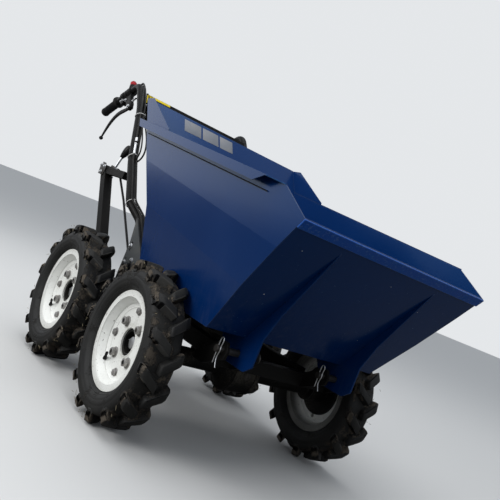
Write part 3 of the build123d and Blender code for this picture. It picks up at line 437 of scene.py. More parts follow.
def prism(outline, depth, edge=0.0, segments=2):
    """Flat outline (x, y) raised along Z, its rims rounded."""
    bm = bmesh.new()
    face = bm.faces.new([bm.verts.new((x, y, 0)) for x, y in outline])
    raised = bmesh.ops.extrude_face_region(bm, geom=[face])
    bmesh.ops.translate(bm, verts=[v for v in raised["geom"] if isinstance(v, bmesh.types.BMVert)],
                        vec=(0, 0, depth))
    bmesh.ops.recalc_face_normals(bm, faces=bm.faces)
    if edge:
        bmesh.ops.bevel(bm, geom=bm.edges[:], offset=edge, segments=segments, affect="EDGES",
                        profile=0.5, material=-1, clamp_overlap=True)
    return bm


def circle(radius, steps, centre=(0, 0), high=None):
    """Points round a centre; high is the other half axis of an oval."""
    return [(centre[0] + radius * math.cos(turn), centre[1] + (high or radius) * math.sin(turn))
            for turn in (math.tau * n / steps for n in range(steps))]


def polar(radius, angle, out=0.0):
    """Point round the Y axis, out along it."""
    return Vector((radius * math.cos(angle), out, radius * math.sin(angle)))


def disc(radius, depth, edge=0.0, sides=32):
    """Round or many-sided plate raised along Z."""
    return prism(circle(radius, sides), depth, edge)


def block(length, width, thick, edge=0.001):
    """Small rectangular block with broken edges, centred in plan."""
    return prism([(-length / 2, -width / 2), (length / 2, -width / 2), (length / 2, width / 2),
                  (-length / 2, width / 2)], thick, edge)


def set_at(bm, matrix):
    """Turns and moves a form to its place."""
    bmesh.ops.transform(bm, matrix=matrix, verts=bm.verts)
    return bm


def lifted(form, height):
    """Moves a form up along Z."""
    return set_at(form, Matrix.Translation((0, 0, height)))


def aim(direction, spot, roll=0.0):
    """Turns Z to a direction, then moves to a spot."""
    turn = Vector(direction).to_track_quat("Z", "Y").to_matrix().to_4x4()
    return Matrix.Translation(spot) @ turn @ Matrix.Rotation(roll, 4, "Z")


def laid(form, origin, x_dir, normal):
    """Sets a flat form with its X along x_dir and its face along normal."""
    z = Vector(normal).normalized()
    x = Vector(x_dir).normalized()
    return set_at(form, Matrix.Translation(origin) @ Matrix((x, z.cross(x), z)).transposed().to_4x4())


def side_plate(outline, y_middle, thick, edge=0.0008):
    """Plate cut to a side view outline (x, z)."""
    return set_at(prism(outline, thick, edge), Matrix.Translation((0, y_middle + thick / 2, 0)) @ UPRIGHT)


def lathe(profile, start, direction, steps=36):
    """Round solid from (radius, along) points, set on a line."""
    return set_at(set_at(turned(profile, steps, ring=False), UPRIGHT), aim(direction, start))


def drum(radius, depth, start, direction, edge=0.001, steps=36):
    """Round block with softened rims."""
    return lathe([(0, 0), (radius - edge, 0), (radius, edge), (radius, depth - edge),
                  (radius - edge, depth), (0, depth)], start, direction, steps)


def bolt(spot, direction, size=0.0065, head=0.0055, washer=0.0105, roll=0.3):
    """Hexagon head on a washer."""
    plate = disc(washer, WASHER_THICK, 0.0004, 24)
    cap = lifted(disc(size * 1.12, head, 0.0007, 6), WASHER_THICK)
    crown = lifted(disc(size * 0.62, 0.0006, 0.0002, 16), WASHER_THICK + head - 0.0001)
    return set_at(joined([plate, cap, crown]), aim(direction, spot, roll))


def wire_mesh(points, radius, resolution, sides, cyclic=False, swell=None):
    """Round wire along one smooth line; swell gives its thickness at each point."""
    curve = bpy.data.curves.new("wire", "CURVE")
    curve.dimensions = "3D"
    curve.bevel_depth = radius
    curve.bevel_resolution = max(1, sides // 4)
    curve.use_fill_caps = not cyclic
    curve.resolution_u = resolution
    line = curve.splines.new("NURBS")
    line.points.add(len(points) - 1)
    for place, point, share in zip(line.points, points, swell or [1.0] * len(points)):
        place.co = (*point, 1)
        place.radius = share
    line.order_u = 3
    line.use_endpoint_u = not cyclic
    line.use_cyclic_u = cyclic
    carrier = added("wire", curve)
    bpy.context.view_layer.update()
    mesh = bpy.data.meshes.new_from_object(carrier)
    bm = bmesh.new()
    bm.from_mesh(mesh)
    bmesh.ops.remove_doubles(bm, verts=bm.verts, dist=WELD)
    bpy.data.objects.remove(carrier)
    bpy.data.curves.remove(curve)
    bpy.data.meshes.remove(mesh)
    return bm


def detail(forms, name, material, slot, smooth=35.0, body="chassis"):
    """A small piece made of one or more forms, in the given material; slot is not used."""
    piece = place_piece(joined(forms), name, body, material, smooth)
    return piece


# Tyres: ribbed carcass with tapered bars that run over the shoulder
TYRE_RADIUS = 0.232
WALL_HALF = 0.0534
BARS_ROUND = 14
CARCASS = [  # radius, half width: bead, wall with its ribs, shoulder, crown
    (0.1275, 0.0315), (0.142, 0.0318), (0.1445, 0.035), (0.1465, 0.0395), (0.149, 0.0432),
    (0.1515, 0.0452), (0.1525, 0.0449), (0.1545, 0.0472), (0.159, 0.05), (0.164, 0.0521),
    (0.166, 0.0518), (0.1685, 0.0532), (0.174, 0.0539), (0.18, 0.0537), (0.1815, 0.0531),
    (0.184, 0.0534), (0.19, 0.0526), (0.196, 0.0511), (0.199, 0.049), (0.202, 0.0462),
    (0.2044, 0.0425), (0.2062, 0.037), (0.2072, 0.028), (0.2076, 0.014),
]
BAR_STATIONS = [
    # across the top, radius of the top, across the root, radius of the root, run, half width
    (-0.006, 0.23, -0.006, 0.204, -0.0044, 0.0128),
    (0.0005, 0.232, 0.0, 0.204, 0.0004, 0.015),
    (0.016, 0.232, 0.016, 0.204, 0.0118, 0.016),
    (0.031, 0.232, 0.031, 0.203, 0.023, 0.0164),
    (0.043, 0.2314, 0.04, 0.2, 0.0318, 0.0164),
    (0.05, 0.2276, 0.043, 0.196, 0.0366, 0.016),
    (0.0532, 0.218, 0.0445, 0.193, 0.039, 0.0152),
    (0.054, 0.206, 0.046, 0.19, 0.04, 0.0138),
    (0.054, 0.194, 0.047, 0.186, 0.0404, 0.0112),
]


def bar_section(station):
    across_top, top, across_root, root, run, half = station
    flare = half + 0.0032
    return [(run - flare, across_root, root), (run - half, across_top, top),
            (run + half, across_top, top), (run + flare, across_root, root)]


def tread_bar():
    """One bar, straight, with x along the tread, y across it and z the radius."""
    bm = bmesh.new()
    cap = bm.faces.new([bm.verts.new(corner) for corner in bar_section(BAR_STATIONS[0])])
    for station in BAR_STATIONS[1:]:
        drawn = bmesh.ops.extrude_face_region(bm, geom=[cap])
        cap = next(item for item in drawn["geom"] if isinstance(item, bmesh.types.BMFace))
        for vert, corner in zip(cap.verts, bar_section(station)):
            vert.co = corner
    bmesh.ops.recalc_face_normals(bm, faces=bm.faces)
    edges = [e for e in bm.edges if e.calc_face_angle(0) > 0.9 and min(v.co.z for v in e.verts) > 0.193]
    bmesh.ops.bevel(bm, geom=edges, offset=0.0034, segments=2, affect="EDGES", profile=0.5,
                    material=-1, clamp_overlap=True)
    return bm


def tyre_form(seed):
    chance = random.Random(seed)
    mirror_half = [(radius, -out) for radius, out in reversed(CARCASS)]
    forms = [turned(CARCASS + mirror_half, 96)]
    for row in (1, -1):
        for step in range(BARS_ROUND):
            bar = tread_bar()
            turn = math.tau * (step + (0.5 if row < 0 else 0.0)) / BARS_ROUND
            wear = chance.uniform(-0.0012, 0.0)
            for vert in bar.verts:
                angle = turn + vert.co.x / TYRE_RADIUS
                reach = vert.co.z + (wear if vert.co.z > 0.222 else 0.0)
                vert.co = polar(reach, angle, row * vert.co.y)
            bmesh.ops.recalc_face_normals(bar, faces=bar.faces)
            forms.append(bar)
    return joined(forms)


def clods(seed, side):
    """Lumps of dried mud held between the bars and on their ends."""
    chance = random.Random(seed)
    forms = []
    for count in range(70):
        lump = bmesh.new()
        bmesh.ops.create_icosphere(lump, subdivisions=2, radius=1.0)
        for vert in lump.verts:
            vert.co *= 1 + chance.uniform(-0.22, 0.22)
        angle = chance.uniform(0, math.tau)
        if count % 2:
            reach = chance.uniform(0.188, 0.198)
            across, tilt = side * 0.0456, side * 0.9
        else:
            reach = 0.2062
            across, tilt = chance.uniform(-0.034, 0.034), 0.0
        size = chance.uniform(0.0022, 0.005)
        bmesh.ops.scale(lump, verts=lump.verts, vec=(size * 1.5, size, size * 0.55))
        spin = Matrix.Rotation(chance.uniform(0, math.tau), 4, "Z")
        forms.append(set_at(lump, aim(polar(1, angle, tilt), polar(reach, angle, across)) @ spin))
    return joined(forms)


def grass(seed, side):
    """Dry fibres caught on the bars' ends."""
    chance = random.Random(seed)
    forms = []
    for count in range(64):
        angle = chance.uniform(0, math.tau)
        root = polar(chance.uniform(0.2, 0.228), angle, side * chance.uniform(0.046, 0.053))
        lean = Vector((chance.uniform(-1, 1), side * chance.uniform(-0.1, 0.8), chance.uniform(-1, 1)))
        lean.normalize()
        hang = Vector((chance.uniform(-1, 1), 0, chance.uniform(-1, 1))) * 0.006
        length = chance.uniform(0.006, 0.016)
        tip = root + lean * length
        if math.hypot(tip.x, tip.z) > TYRE_RADIUS - 0.0005 or abs(tip.y) > WALL_HALF:
            tip = root - lean * length * 0.5
        forms.append(wire_mesh([root, root.lerp(tip, 0.5) + hang * 0.3, tip], 0.00055, 2, 4))
    return joined(forms)


DISC_FACE = 0.005
NUT_CIRCLE = 0.066
BOLT_CIRCLE = 0.091
BEADS = (circle(0.0026, 12, (0.1398, 0.0333)), circle(0.0022, 10, (0.1228, 0.0262)),
         circle(0.0024, 10, (0.1, DISC_FACE + 0.0002), 0.0016),
         circle(0.0022, 10, (0.0412, DISC_FACE), 0.0016))
SPLIT_PIN = ((-0.021, 0, 0.003), (-0.006, 0, 0.001), (0.008, 0, -0.001), (0.022, 0, 0.001),
             (0.024, 0.004, 0.006))
VALVE_BOOT = [(0.0, 0.0), (0.006, 0.0), (0.0056, 0.009), (0.0042, 0.016), (0.0, 0.016)]

for index, (wheel, (axle, side)) in enumerate(WHEELS.items()):
    body = "wheel_" + wheel
    centre = axle + Vector((0, side * WHEEL_Y, 0))
    to_wheel = Matrix.Translation(centre)
    outward = Vector((0, side, 0))
    rubber = make_tyre("tyre_rubber_" + wheel, axle, side)
    tyre = place_piece(set_at(tyre_form(11 + index), to_wheel), "lugged_tyre_" + wheel, body, rubber, 38)
    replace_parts(tyre, "tyre_" + wheel)
    for form, name, material in ((clods(31 + index, side), "mud_clods_", DRIED_MUD),
                                 (grass(51 + index, side), "grass_", DRY_GRASS)):
        detail([set_at(form, to_wheel)], name + wheel, material, "tyre_rubber", 60, body)
    white = make_rim("rim_white_" + wheel, axle, side)
    dress("rim_" + wheel, white, 0.0008)
    beads = set_at(joined([turned(profile, 96) for profile in BEADS]),
                   to_wheel @ Matrix.Scale(side, 4, (0, 1, 0)))
    bmesh.ops.recalc_face_normals(beads, faces=beads.faces)
    detail([beads], "rim_beads_" + wheel, white, "rim_white", 60, body)
    nuts = []
    for quarter in range(4):
        spot = centre + polar(NUT_CIRCLE, math.radians(45 + 90 * quarter), side * DISC_FACE)
        nut = joined([disc(0.0158, 0.003, 0.0012, 28), lifted(disc(0.0125, 0.0125, 0.001, 6), 0.002)])
        nuts.append(set_at(nut, aim(outward, spot, 0.4 + quarter * 1.7)))
    for quarter in range(4):
        spot = centre + polar(BOLT_CIRCLE, math.radians(90 * quarter), side * DISC_FACE)
        nuts.append(bolt(spot, outward, 0.0088, 0.0065, 0.0132, quarter * 0.9 + index))
    detail(nuts, "wheel_nuts_" + wheel, STEEL, "bare_steel", body=body)
    nut_spot = centre + Vector((0, side * (DISC_FACE - 0.0245), 0))
    castle_nut = joined([disc(0.0205, 0.01, 0.0012, 6), lifted(disc(0.0165, 0.0035, 0.0008, 24), 0.0095)])
    pin_at = nut_spot + Vector((0, side * 0.0112, 0))
    split_pin = wire_mesh([pin_at + Vector((x, side * y, z)) for x, y, z in SPLIT_PIN], 0.0014, 4, 8)
    set_at(castle_nut, aim(outward, nut_spot, 0.2))
    detail([castle_nut, split_pin], "axle_nut_" + wheel, ZINC, "bare_steel", body=body)
    stem_root = centre + Vector((-0.08, side * 0.012, -0.08))
    stem_tip = centre + Vector((-0.0545, side * 0.025, -0.0545))
    along = (stem_tip - stem_root).normalized()
    stem = wire_mesh([stem_root, stem_root + along * 0.014, stem_root + along * 0.03], 0.0027, 3, 10)
    cap = set_at(lifted(disc(0.0043, 0.011, 0.001, 16), 0.026), aim(along, stem_root))
    boot = lathe(VALVE_BOOT, stem_root, along, 24)
    detail([boot, cap, stem], "valve_stem_" + wheel, GRIP_RUBBER, "grip_rubber", 40, body)

# Spring clips through the tails of the pivot pins
for label, y_tail, foot in (("right", -0.262, 0.0), ("left", 0.118, 0.004)):
    clip = wire_mesh([(x, y_tail, z) for x, z in (
        (0.62, 0.286 + foot), (0.62, 0.325), (0.62, 0.344), (0.6212, 0.356), (0.629, 0.36),
        (0.636, 0.353), (0.634, 0.34), (0.6325, 0.333), (0.635, 0.325), (0.6325, 0.316),
        (0.629, 0.304), (0.633, 0.29 + foot), (0.64, 0.278 + foot))], 0.0015, 6, 10)
    detail([clip], "spring_clip_" + label, ZINC, "bare_steel", 60)

# Bolts on the handlebar brackets, forks and rest bar
BRACKET_FACE = 0.272
bolts = []
for side in (1, -1):
    bolts += [bolt((x, side * BRACKET_FACE, z), (0, side, 0), 0.0068, roll=x * 40 + z * 9)
              for x, z in ((-0.102, 0.455), (-0.102, 0.395), (-0.052, 0.412), (-0.052, 0.362))]
    bolts += [bolt((x, side * 0.17, 0.292), (0, side, 0), 0.006, roll=x * 50) for x in (-0.24, -0.262)]
bolts += [bolt((0.165, y, 0.356), (0, 0, 1), 0.0055, roll=0.5) for y in (-0.208, 0.208)]
detail(bolts, "frame_bolts", ZINC, "bare_steel")

# Handlebars: grips, the levers on their clamps with bolts and adjusters, and the switch
BEND = Vector((-0.612, 0, 1.078))
BACK = Vector((-0.2794, 0, -0.138)).normalized()
RISE = Vector((BACK.z, 0, -BACK.x))


def on_bar(along, side, rise=0.0, out=0.0):
    """Point by the handlebar's straight run, measured back from its top bend."""
    return BEND + BACK * along + RISE * rise + Vector((0, side * (BAR_Y + out), 0))


def strap(centre, direction, deep, shallow, half):
    """Band pulled round a tube and the cables on its front."""
    front = Vector((-direction[2], 0, direction[0])).normalized()
    middle = (deep - shallow) / 2
    reach = (deep + shallow) / 2 * 1.03
    line = [Vector(centre) + front * rise + Vector((0, out, 0))
            for rise, out in circle(reach, 12, (middle, 0), half * 1.03)]
    return wire_mesh(line, 0.0015, 4, 8, cyclic=True)


GRIP_LAND = 0.0187
GRIP_GROOVE = 0.0174
GRIP_PROFILE = [(0, 0), (0.0235, 0), (0.026, 0.0022), (0.026, 0.0058), (0.0235, 0.008), (0.0192, 0.009)]
for rib in range(16):
    root = 0.012 + rib * 0.0064
    GRIP_PROFILE += [(GRIP_LAND, root), (GRIP_LAND, root + 0.004),
                     (GRIP_GROOVE, root + 0.0046), (GRIP_GROOVE, root + 0.006)]
GRIP_PROFILE += [(GRIP_LAND, 0.116), (0.0196, 0.1185), (0.0196, 0.123), (0.018, 0.1268),
                 (0.012, 0.1278), (0, 0.128)]
LEVER_LINE = [(-0.634, 0.968), (-0.664, 0.959), (-0.705, 0.948), (-0.745, 0.928), (-0.776, 0.896),
              (-0.797, 0.858), (-0.811, 0.822)]
LEVER_SWELL = [0.7, 0.9, 1.0, 1.05, 0.98, 0.82, 0.62]
PERCH_LINE = [(0.152, 0.0), (0.152, -0.02), (0.14, -0.03), (0.118, -0.036), (0.098, -0.048),
              (0.084, -0.072), (0.078, -0.092), (0.062, -0.1), (0.046, -0.092), (0.044, -0.074),
              (0.058, -0.048), (0.062, -0.02), (0.064, 0.0)]
ADJUSTER_PROFILE = [(0, 0), (0.0056, 0), (0.0056, 0.006), (0.004, 0.0066), (0.004, 0.016),
                    (0.0052, 0.017), (0.0052, 0.023), (0.0038, 0.024), (0, 0.024)]

blades = []
perches = []
fittings = []
for side in (1, -1):
    bar_y = side * BAR_Y
    blade = wire_mesh([(x, bar_y, z) for x, z in LEVER_LINE], 0.0112, 8, 16, swell=LEVER_SWELL)
    bmesh.ops.scale(blade, verts=blade.verts, vec=(1, 0.5, 1), space=Matrix.Translation((0, -bar_y, 0)))
    ball = bmesh.new()
    bmesh.ops.create_uvsphere(ball, u_segments=24, v_segments=16, radius=0.0088)
    blades += [blade, set_at(ball, Matrix.Translation((-0.8115, bar_y, 0.818)))]
    outline = [on_bar(along, side, rise) for along, rise in PERCH_LINE]
    perches += [side_plate([(spot.x, spot.z) for spot in outline], bar_y, 0.017, 0.0022),
                drum(0.0215, 0.02, on_bar(0.122, side), BACK),
                drum(0.0208, 0.015, on_bar(0.096, side), BACK),
                drum(0.01, 0.024, on_bar(0.132, side, -0.033, -0.012), (0, side, 0))]
    for along, rise, size in ((0.063, -0.083, 0.0062), (0.128, -0.024, 0.005), (0.144, -0.022, 0.0045),
                              (0.1, -0.034, 0.0045)):
        for face in (1, -1):
            spot = on_bar(along, side, rise, 0.0085 * face)
            fittings.append(bolt(spot, (0, side * face, 0), size, 0.004, size * 1.5, along * 30))
    for along in (0.106, 0.132):
        fittings.append(bolt(on_bar(along, side, 0.0205), RISE, 0.0045, 0.004, 0.0068, along * 9))
    adjuster = on_bar(0.05, side, -0.06)
    fittings.append(lathe(ADJUSTER_PROFILE, adjuster, on_bar(0.008, side, -0.052) - adjuster, 20))
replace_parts(detail(blades, "lever_blades", BLACK_PLASTIC, "black_plastic", 60), "control_levers")
detail(perches, "lever_perches", BLACK_PLASTIC, "black_plastic")
detail(fittings, "lever_bolts", ZINC, "bare_steel")
grips = [lathe(GRIP_PROFILE, on_bar(0.1896, side), BACK, 48) for side in (1, -1)]
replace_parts(detail(grips, "ribbed_grips", GRIP_RUBBER, "grip_rubber", 50), "handlebar_grips")

switch_cap = [drum(0.0135, 0.019, on_bar(0.076, -1, 0.0325), RISE, 0.003),
              drum(0.0085, 0.0012, on_bar(0.076, -1, 0.051), RISE, 0.0005)]
detail(switch_cap, "switch_cap", RED_PLASTIC, "black_plastic")
switch_housing = [drum(0.0212, 0.024, on_bar(0.064, -1), BACK),
                  drum(0.015, 0.01, on_bar(0.076, -1, 0.015), RISE),
                  drum(0.0145, 0.008, on_bar(0.076, -1, 0.025), RISE)]
detail(switch_housing, "switch_housing", BLACK_PLASTIC, "black_plastic")

# Console plate: blank label, fixing bolts and the stiffeners along its edges
CONSOLE_TOP = Vector((-0.546, 0, 1.045))
PLATE_UP = Vector((-0.046, 0, 0.115)).normalized()
PLATE_FACE = Vector((PLATE_UP.z, 0, -PLATE_UP.x))


def on_plate(y, drop, out=0.0):
    """Point on the console plate's face, at a depth below its top edge."""
    return CONSOLE_TOP + Vector((0, y, 0)) + PLATE_FACE * (0.003 + out) - PLATE_UP * drop


strips = [laid(block(long, deep, 0.0006, 0.0002), on_plate(y, drop), (0, 1, 0), PLATE_FACE)
          for long, deep, drop, y in ((0.112, 0.009, 0.006, -0.206), (0.026, 0.04, 0.0215, -0.2495))]
detail(strips, "blank_yellow_strip", LABEL_YELLOW, "black_plastic")
plate_bolts = [bolt(on_plate(y, drop), PLATE_FACE, 0.005, 0.004, 0.008, y * 9)
               for y in (-0.252, 0.252) for drop in (0.052, 0.1)]
detail(plate_bolts, "console_bolts", ZINC, "bare_steel")
plate_ribs = [laid(block(0.48, 0.006, 0.003, 0.001), on_plate(0, drop, -0.0058), (0, 1, 0), PLATE_FACE)
              for drop in (0.01, 0.112)]
detail(plate_ribs, "console_stiffeners", FRAME_BLACK, "frame_black")

# Gear lever with its knob, the plates at the head of the post and the joint of the rod
HEAD_PLATE = [(-0.618, 0.664), (-0.566, 0.66), (-0.558, 0.694), (-0.574, 0.714), (-0.606, 0.716),
              (-0.622, 0.696)]
KNOB_PROFILE = [(0, 0), (0.0075, 0), (0.0095, 0.006), (0.013, 0.017), (0.016, 0.032), (0.017, 0.043),
                (0.016, 0.053), (0.0122, 0.06), (0.0066, 0.0638), (0, 0.065)]
lever_root = Vector((-0.592, -0.2568, 0.676))
lever_top = Vector((-0.587, -0.241, 0.766))
knob_top = Vector((-0.58, -0.228, 0.808))
lever_rod = wire_mesh([lever_root, lever_root.lerp(lever_top, 0.5), lever_top, knob_top], 0.0062, 6, 12)
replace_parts(detail([lever_rod], "gear_rod", ZINC, "bare_steel", 60), "gear_lever")
knob = lathe(KNOB_PROFILE, lever_top.lerp(knob_top, -0.18), knob_top - lever_top)
detail([knob], "gear_knob", KNOB_BLACK, "black_plastic", 60)
head_plates = []
head_bolts = []
for y, out in ((-0.2992, -1), (-0.2608, 1)):
    head_plates.append(side_plate(HEAD_PLATE, y, 0.0024))
    for x, z in ((-0.606, 0.702), (-0.572, 0.698), (-0.592, 0.672)):
        head_bolts.append(bolt((x, y + out * 0.0012, z), (0, out, 0), 0.0058, 0.005, 0.009, x * 30))
for radius, length, start in ((0.01, 0.008, (-0.592, -0.2608, 0.68)),
                              (0.0062, 0.012, (-0.593, -0.255, 0.668)),
                              (0.0075, 0.013, (-0.112, -0.264, 0.412))):
    head_bolts.append(drum(radius, length, start, (0, 1, 0)))
for start, end in (((-0.57, 0.69), (-0.545, 0.704)), ((-0.144, 0.4355), (-0.12, 0.418))):
    run = Vector((end[0] - start[0], 0, end[1] - start[1]))
    head_bolts.append(drum(0.0066, run.length, (start[0], -0.257, start[1]), run))
detail(head_plates, "post_head_plates", GREASED, "bare_steel")
detail(head_bolts, "post_head_bolts", ZINC, "bare_steel")

# Ties, in-line adjusters, the levers' slack cables, the cables along the bar and the cheek plate
LOW_TIE, MIDDLE_TIE, HIGH_TIE = ((-0.236, 0.003, 0.592), (-0.388, 0, 0.764), (-0.488, 0, 0.936))
ties = [strap((x, side * (BAR_Y - inward), z), direction, *sizes)
        for side, (x, inward, z), direction, sizes in (
            (-1, MIDDLE_TIE, (0.59, 0, -0.81), (0.0295, 0.0175, 0.0185)),
            (-1, LOW_TIE, (0.75, 0, -0.66), (0.0295, 0.0175, 0.0185)),
            (-1, HIGH_TIE, (0.53, 0, -0.85), (0.029, 0.017, 0.0185)),
            (1, MIDDLE_TIE, (0.59, 0, -0.81), (0.025, 0.017, 0.0175)),
            (1, LOW_TIE, (0.75, 0, -0.66), (0.025, 0.017, 0.0175)))]
detail(ties, "cable_ties", TIE_WHITE, "black_plastic", 60)
DOWN_BAR = Vector((0.5046, 0, -0.8633))
adjusters = [drum(radius, length, (x, -0.287, z), DOWN_BAR, steps=sides)
             for radius, length, x, z, sides in ((0.0056, 0.018, -0.4065, 0.846, 20),
                                                 (0.0062, 0.007, -0.394, 0.8245, 6),
                                                 (0.0052, 0.048, -0.3925, 0.822, 20))]
detail(adjusters, "cable_adjusters", ZINC, "bare_steel")
slack = [(-0.486, -0.27, 0.96), (-0.452, -0.268, 0.925), (-0.402, -0.266, 0.888), (-0.352, -0.264, 0.842),
         (-0.326, -0.264, 0.792), (-0.345, -0.268, 0.755), (-0.372, -0.272, 0.748)]
second = [(-0.486, -0.276, 0.962), (-0.448, -0.276, 0.918), (-0.408, -0.276, 0.88), (-0.368, -0.275, 0.836),
          (-0.345, -0.275, 0.794), (-0.352, -0.276, 0.762), (-0.372, -0.278, 0.745)]
lead_in = [on_bar(0.03, -1, -0.055), on_bar(0.012, -1, -0.058, -0.004), (-0.58, -0.262, 1.01),
           (-0.55, -0.258, 0.985), (-0.522, -0.262, 0.96), (-0.492, -0.268, 0.925), (-0.462, -0.272, 0.88)]
left_cable = [on_bar(0.03, 1, -0.055), on_bar(0.012, 1, -0.058, -0.004), (-0.582, 0.266, 1.01),
              (-0.548, 0.262, 0.985), (-0.512, 0.268, 0.95), (-0.474, 0.28, 0.905), (-0.424, 0.281, 0.8255),
              (-0.368, 0.281, 0.745), (-0.3, 0.281, 0.684), (-0.224, 0.276, 0.605), (-0.15, 0.252, 0.568),
              (-0.085, 0.248, 0.52)]
lever_cables = [wire_mesh(line, radius, 6, 12) for line, radius in (
    (slack, 0.0034), (second, 0.003), (lead_in, 0.0032), (left_cable, 0.0034))]
detail(lever_cables, "lever_cables", CABLE_JACKET, "black_plastic", 60)


def eased(points, ease):
    """Adds a point either side of each corner, so that a wire's bends stay short."""
    line = [Vector(points[0])]
    for before, corner, after in zip(points, points[1:], points[2:]):
        corner = Vector(corner)
        to_before, to_after = (Vector(other) - corner for other in (before, after))
        line += [corner + to_before.normalized() * min(ease, to_before.length * 0.45), corner,
                 corner + to_after.normalized() * min(ease, to_after.length * 0.45)]
    return line + [Vector(points[-1])]


conduits = []
for shift, rise, inward in ((0.0, 0.017, -0.01), (-0.014, 0.008, -0.0185)):
    run = [(x, y + shift, z) for x, y, z in (
        (-0.0054, -0.243, 0.3522), (-0.0056, -0.243, 0.453), (-0.1517, -0.2434, 0.5665),
        (-0.22, -0.271, 0.6117), (-0.3598, -0.273, 0.765), (-0.4883, -0.273, 0.9835))]
    run += [(-0.57, -0.271 + shift * 0.5, 1.064), on_bar(0.0, -1, rise - 0.001, inward),
            on_bar(0.028, -1, rise, inward), on_bar(0.056, -1, rise * 0.9, inward * 0.9)]
    conduits.append(wire_mesh(eased(run, 0.03), 0.0042, 5, 12))
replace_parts(detail(conduits, "strapped_cables", CABLE_JACKET, "black_plastic", 60), "control_cables")
cheek = side_plate([(-0.558, 1.052), (-0.52, 1.028), (-0.484, 0.998), (-0.42, 0.952), (-0.392, 0.93),
                    (-0.402, 0.908), (-0.43, 0.896), (-0.462, 0.918), (-0.512, 0.978), (-0.575, 1.052)],
                   -0.256, 0.003)
detail([cheek], "cheek_plate", FRAME_BLACK, "frame_black")

# Engine: starter louvres and handle, cover bolts, fuel cap, tank seam, heat shield, spark plug, air cleaner
# trim, oil filler and the belt cover's raised panel
STARTER = CRANK + Vector((0, -0.164, 0))
STARTER_RIM = CRANK + Vector((0, -0.134, 0))
CYLINDER_WAY = Vector((0.866, 0, 0.5))
CYLINDER_UP = Vector((-0.5, 0, 0.866))
COVER_FACE = 0.118
louvres = []
for step in range(16):
    ray = polar(1, math.tau * step / 16)
    louvres.append(laid(block(0.03, 0.0055, 0.003), STARTER + ray * 0.043, ray, (0, -1, 0)))
louvres.append(drum(0.02, 0.004, STARTER, (0, -1, 0)))
louvres.append(set_at(turned(circle(0.0035, 10, (0.09, 0)), 64), Matrix.Translation(STARTER_RIM)))
detail(louvres, "starter_louvres", BLACK_PLASTIC, "engine_paint")
handle = lathe([(0, 0), (0.008, 0), (0.0092, 0.003), (0.0076, 0.02), (0.0076, 0.055), (0.0092, 0.072),
                (0.008, 0.075), (0, 0.075)], (-0.1675, -0.118, 0.5345), (1, 0, 0), 24)
detail([handle], "starter_handle", BLACK_PLASTIC, "black_plastic", 60)
engine_bolts = [bolt(STARTER_RIM + polar(0.082, math.radians(45 + 90 * step)), (0, -1, 0),
                     0.005, 0.0045, 0.0085, step) for step in range(4)]
engine_bolts += [bolt((x, COVER_FACE, z), (0, 1, 0), 0.0055, 0.005, 0.0095, x * 40)
                 for x, z in ((CRANK.x, CRANK.z), (LOW_PULLEY.x, LOW_PULLEY.z), (-0.157, 0.33))]
engine_bolts += [bolt((x, y * 1.52, 0.319), (0, 0, 1), 0.0055, 0.006, 0.0095, x * 50 + y)
                 for x in (-0.2, -0.06) for y in (-0.054, 0.054)]
engine_bolts += [bolt(CRANK + CYLINDER_WAY * 0.2 + CYLINDER_UP * lift + Vector((0, y, 0)), CYLINDER_WAY,
                      0.005, 0.0045, 0.008, y * 50) for y in (-0.034, 0.034) for lift in (-0.034, 0.034)]
engine_bolts.append(bolt((-0.048, -0.04, 0.335), (1, 0, 0), 0.007, 0.008, 0.011))
engine_bolts += [bolt((x, 0.1345, z), (0, 1, 0), 0.004, 0.0035, 0.0065, x * 70 + z)
                 for x in (-0.032, 0.03) for z in (0.455, 0.505)]
detail(engine_bolts, "engine_bolts", ZINC, "bare_steel")
cap_outline = [(x * reach, y * reach) for (x, y), reach in zip(circle(1.0, 48), (0.0278, 0.0262) * 24)]
fuel_cap = set_at(prism(cap_outline, 0.011, 0.0004, 1), Matrix.Translation((CRANK.x, 0, 0.6415)))
cap_top = drum(0.018, 0.0012, (CRANK.x, 0, 0.6525), (0, 0, 1), 0.0004)
detail([fuel_cap, cap_top], "fuel_cap", BLACK_PLASTIC, "black_plastic")
SEAM_PLAN = [(-0.2228, -0.106), (-0.2228, 0.106), (-0.2, 0.1288), (-0.06, 0.1288), (-0.0372, 0.106),
             (-0.0372, -0.106), (-0.06, -0.1288), (-0.2, -0.1288)]
tank_seam = wire_mesh([(x, y, 0.594) for x, y in SEAM_PLAN], 0.0026, 6, 8, cyclic=True)
detail([tank_seam], "tank_seam", TANK_BLACK, "engine_paint", 60)
shield = [laid(block(0.08, 0.068, 0.002, 0.0008), (-0.001, 0.1315, 0.48), (1, 0, 0), (0, 1, 0))]
for rib in range(5):
    shield.append(laid(block(0.048, 0.005, 0.002, 0.0009), (-0.001, 0.1332, 0.458 + rib * 0.011),
                       (1, 0, 0), (0, 1, 0)))
shield.append(wire_mesh([(x, 0.1, z) for x, z in (
    (0.04, 0.462), (0.058, 0.46), (0.07, 0.452), (0.076, 0.44))], 0.0085, 6, 16))
detail(shield, "muffler_shield", HEATED, "muffler_steel")
plug_way = Vector((0.2, -1, 0.1)).normalized()
plug_root = Vector((0.035, -0.042, 0.519))
plug_lead = [plug_root + plug_way * 0.03, plug_root + plug_way * 0.04 + Vector((-0.012, 0, 0.004)),
             (-0.004, -0.092, 0.512), (-0.04, -0.098, 0.5), (-0.07, -0.095, 0.49)]
plug = [drum(0.0105, 0.006, plug_root, plug_way, 0.0008, 6),
        drum(0.0068, 0.014, plug_root, plug_way, steps=20),
        drum(0.0095, 0.022, plug_root + plug_way * 0.012, plug_way, 0.003, 20),
        wire_mesh(plug_lead, 0.0032, 5, 10)]
detail(plug, "spark_plug", BLACK_PLASTIC, "black_plastic", 50)
cleaner_knob = drum(0.012, 0.01, (-0.304, 0.006, 0.441), (-1, 0, 0), 0.002, 8)
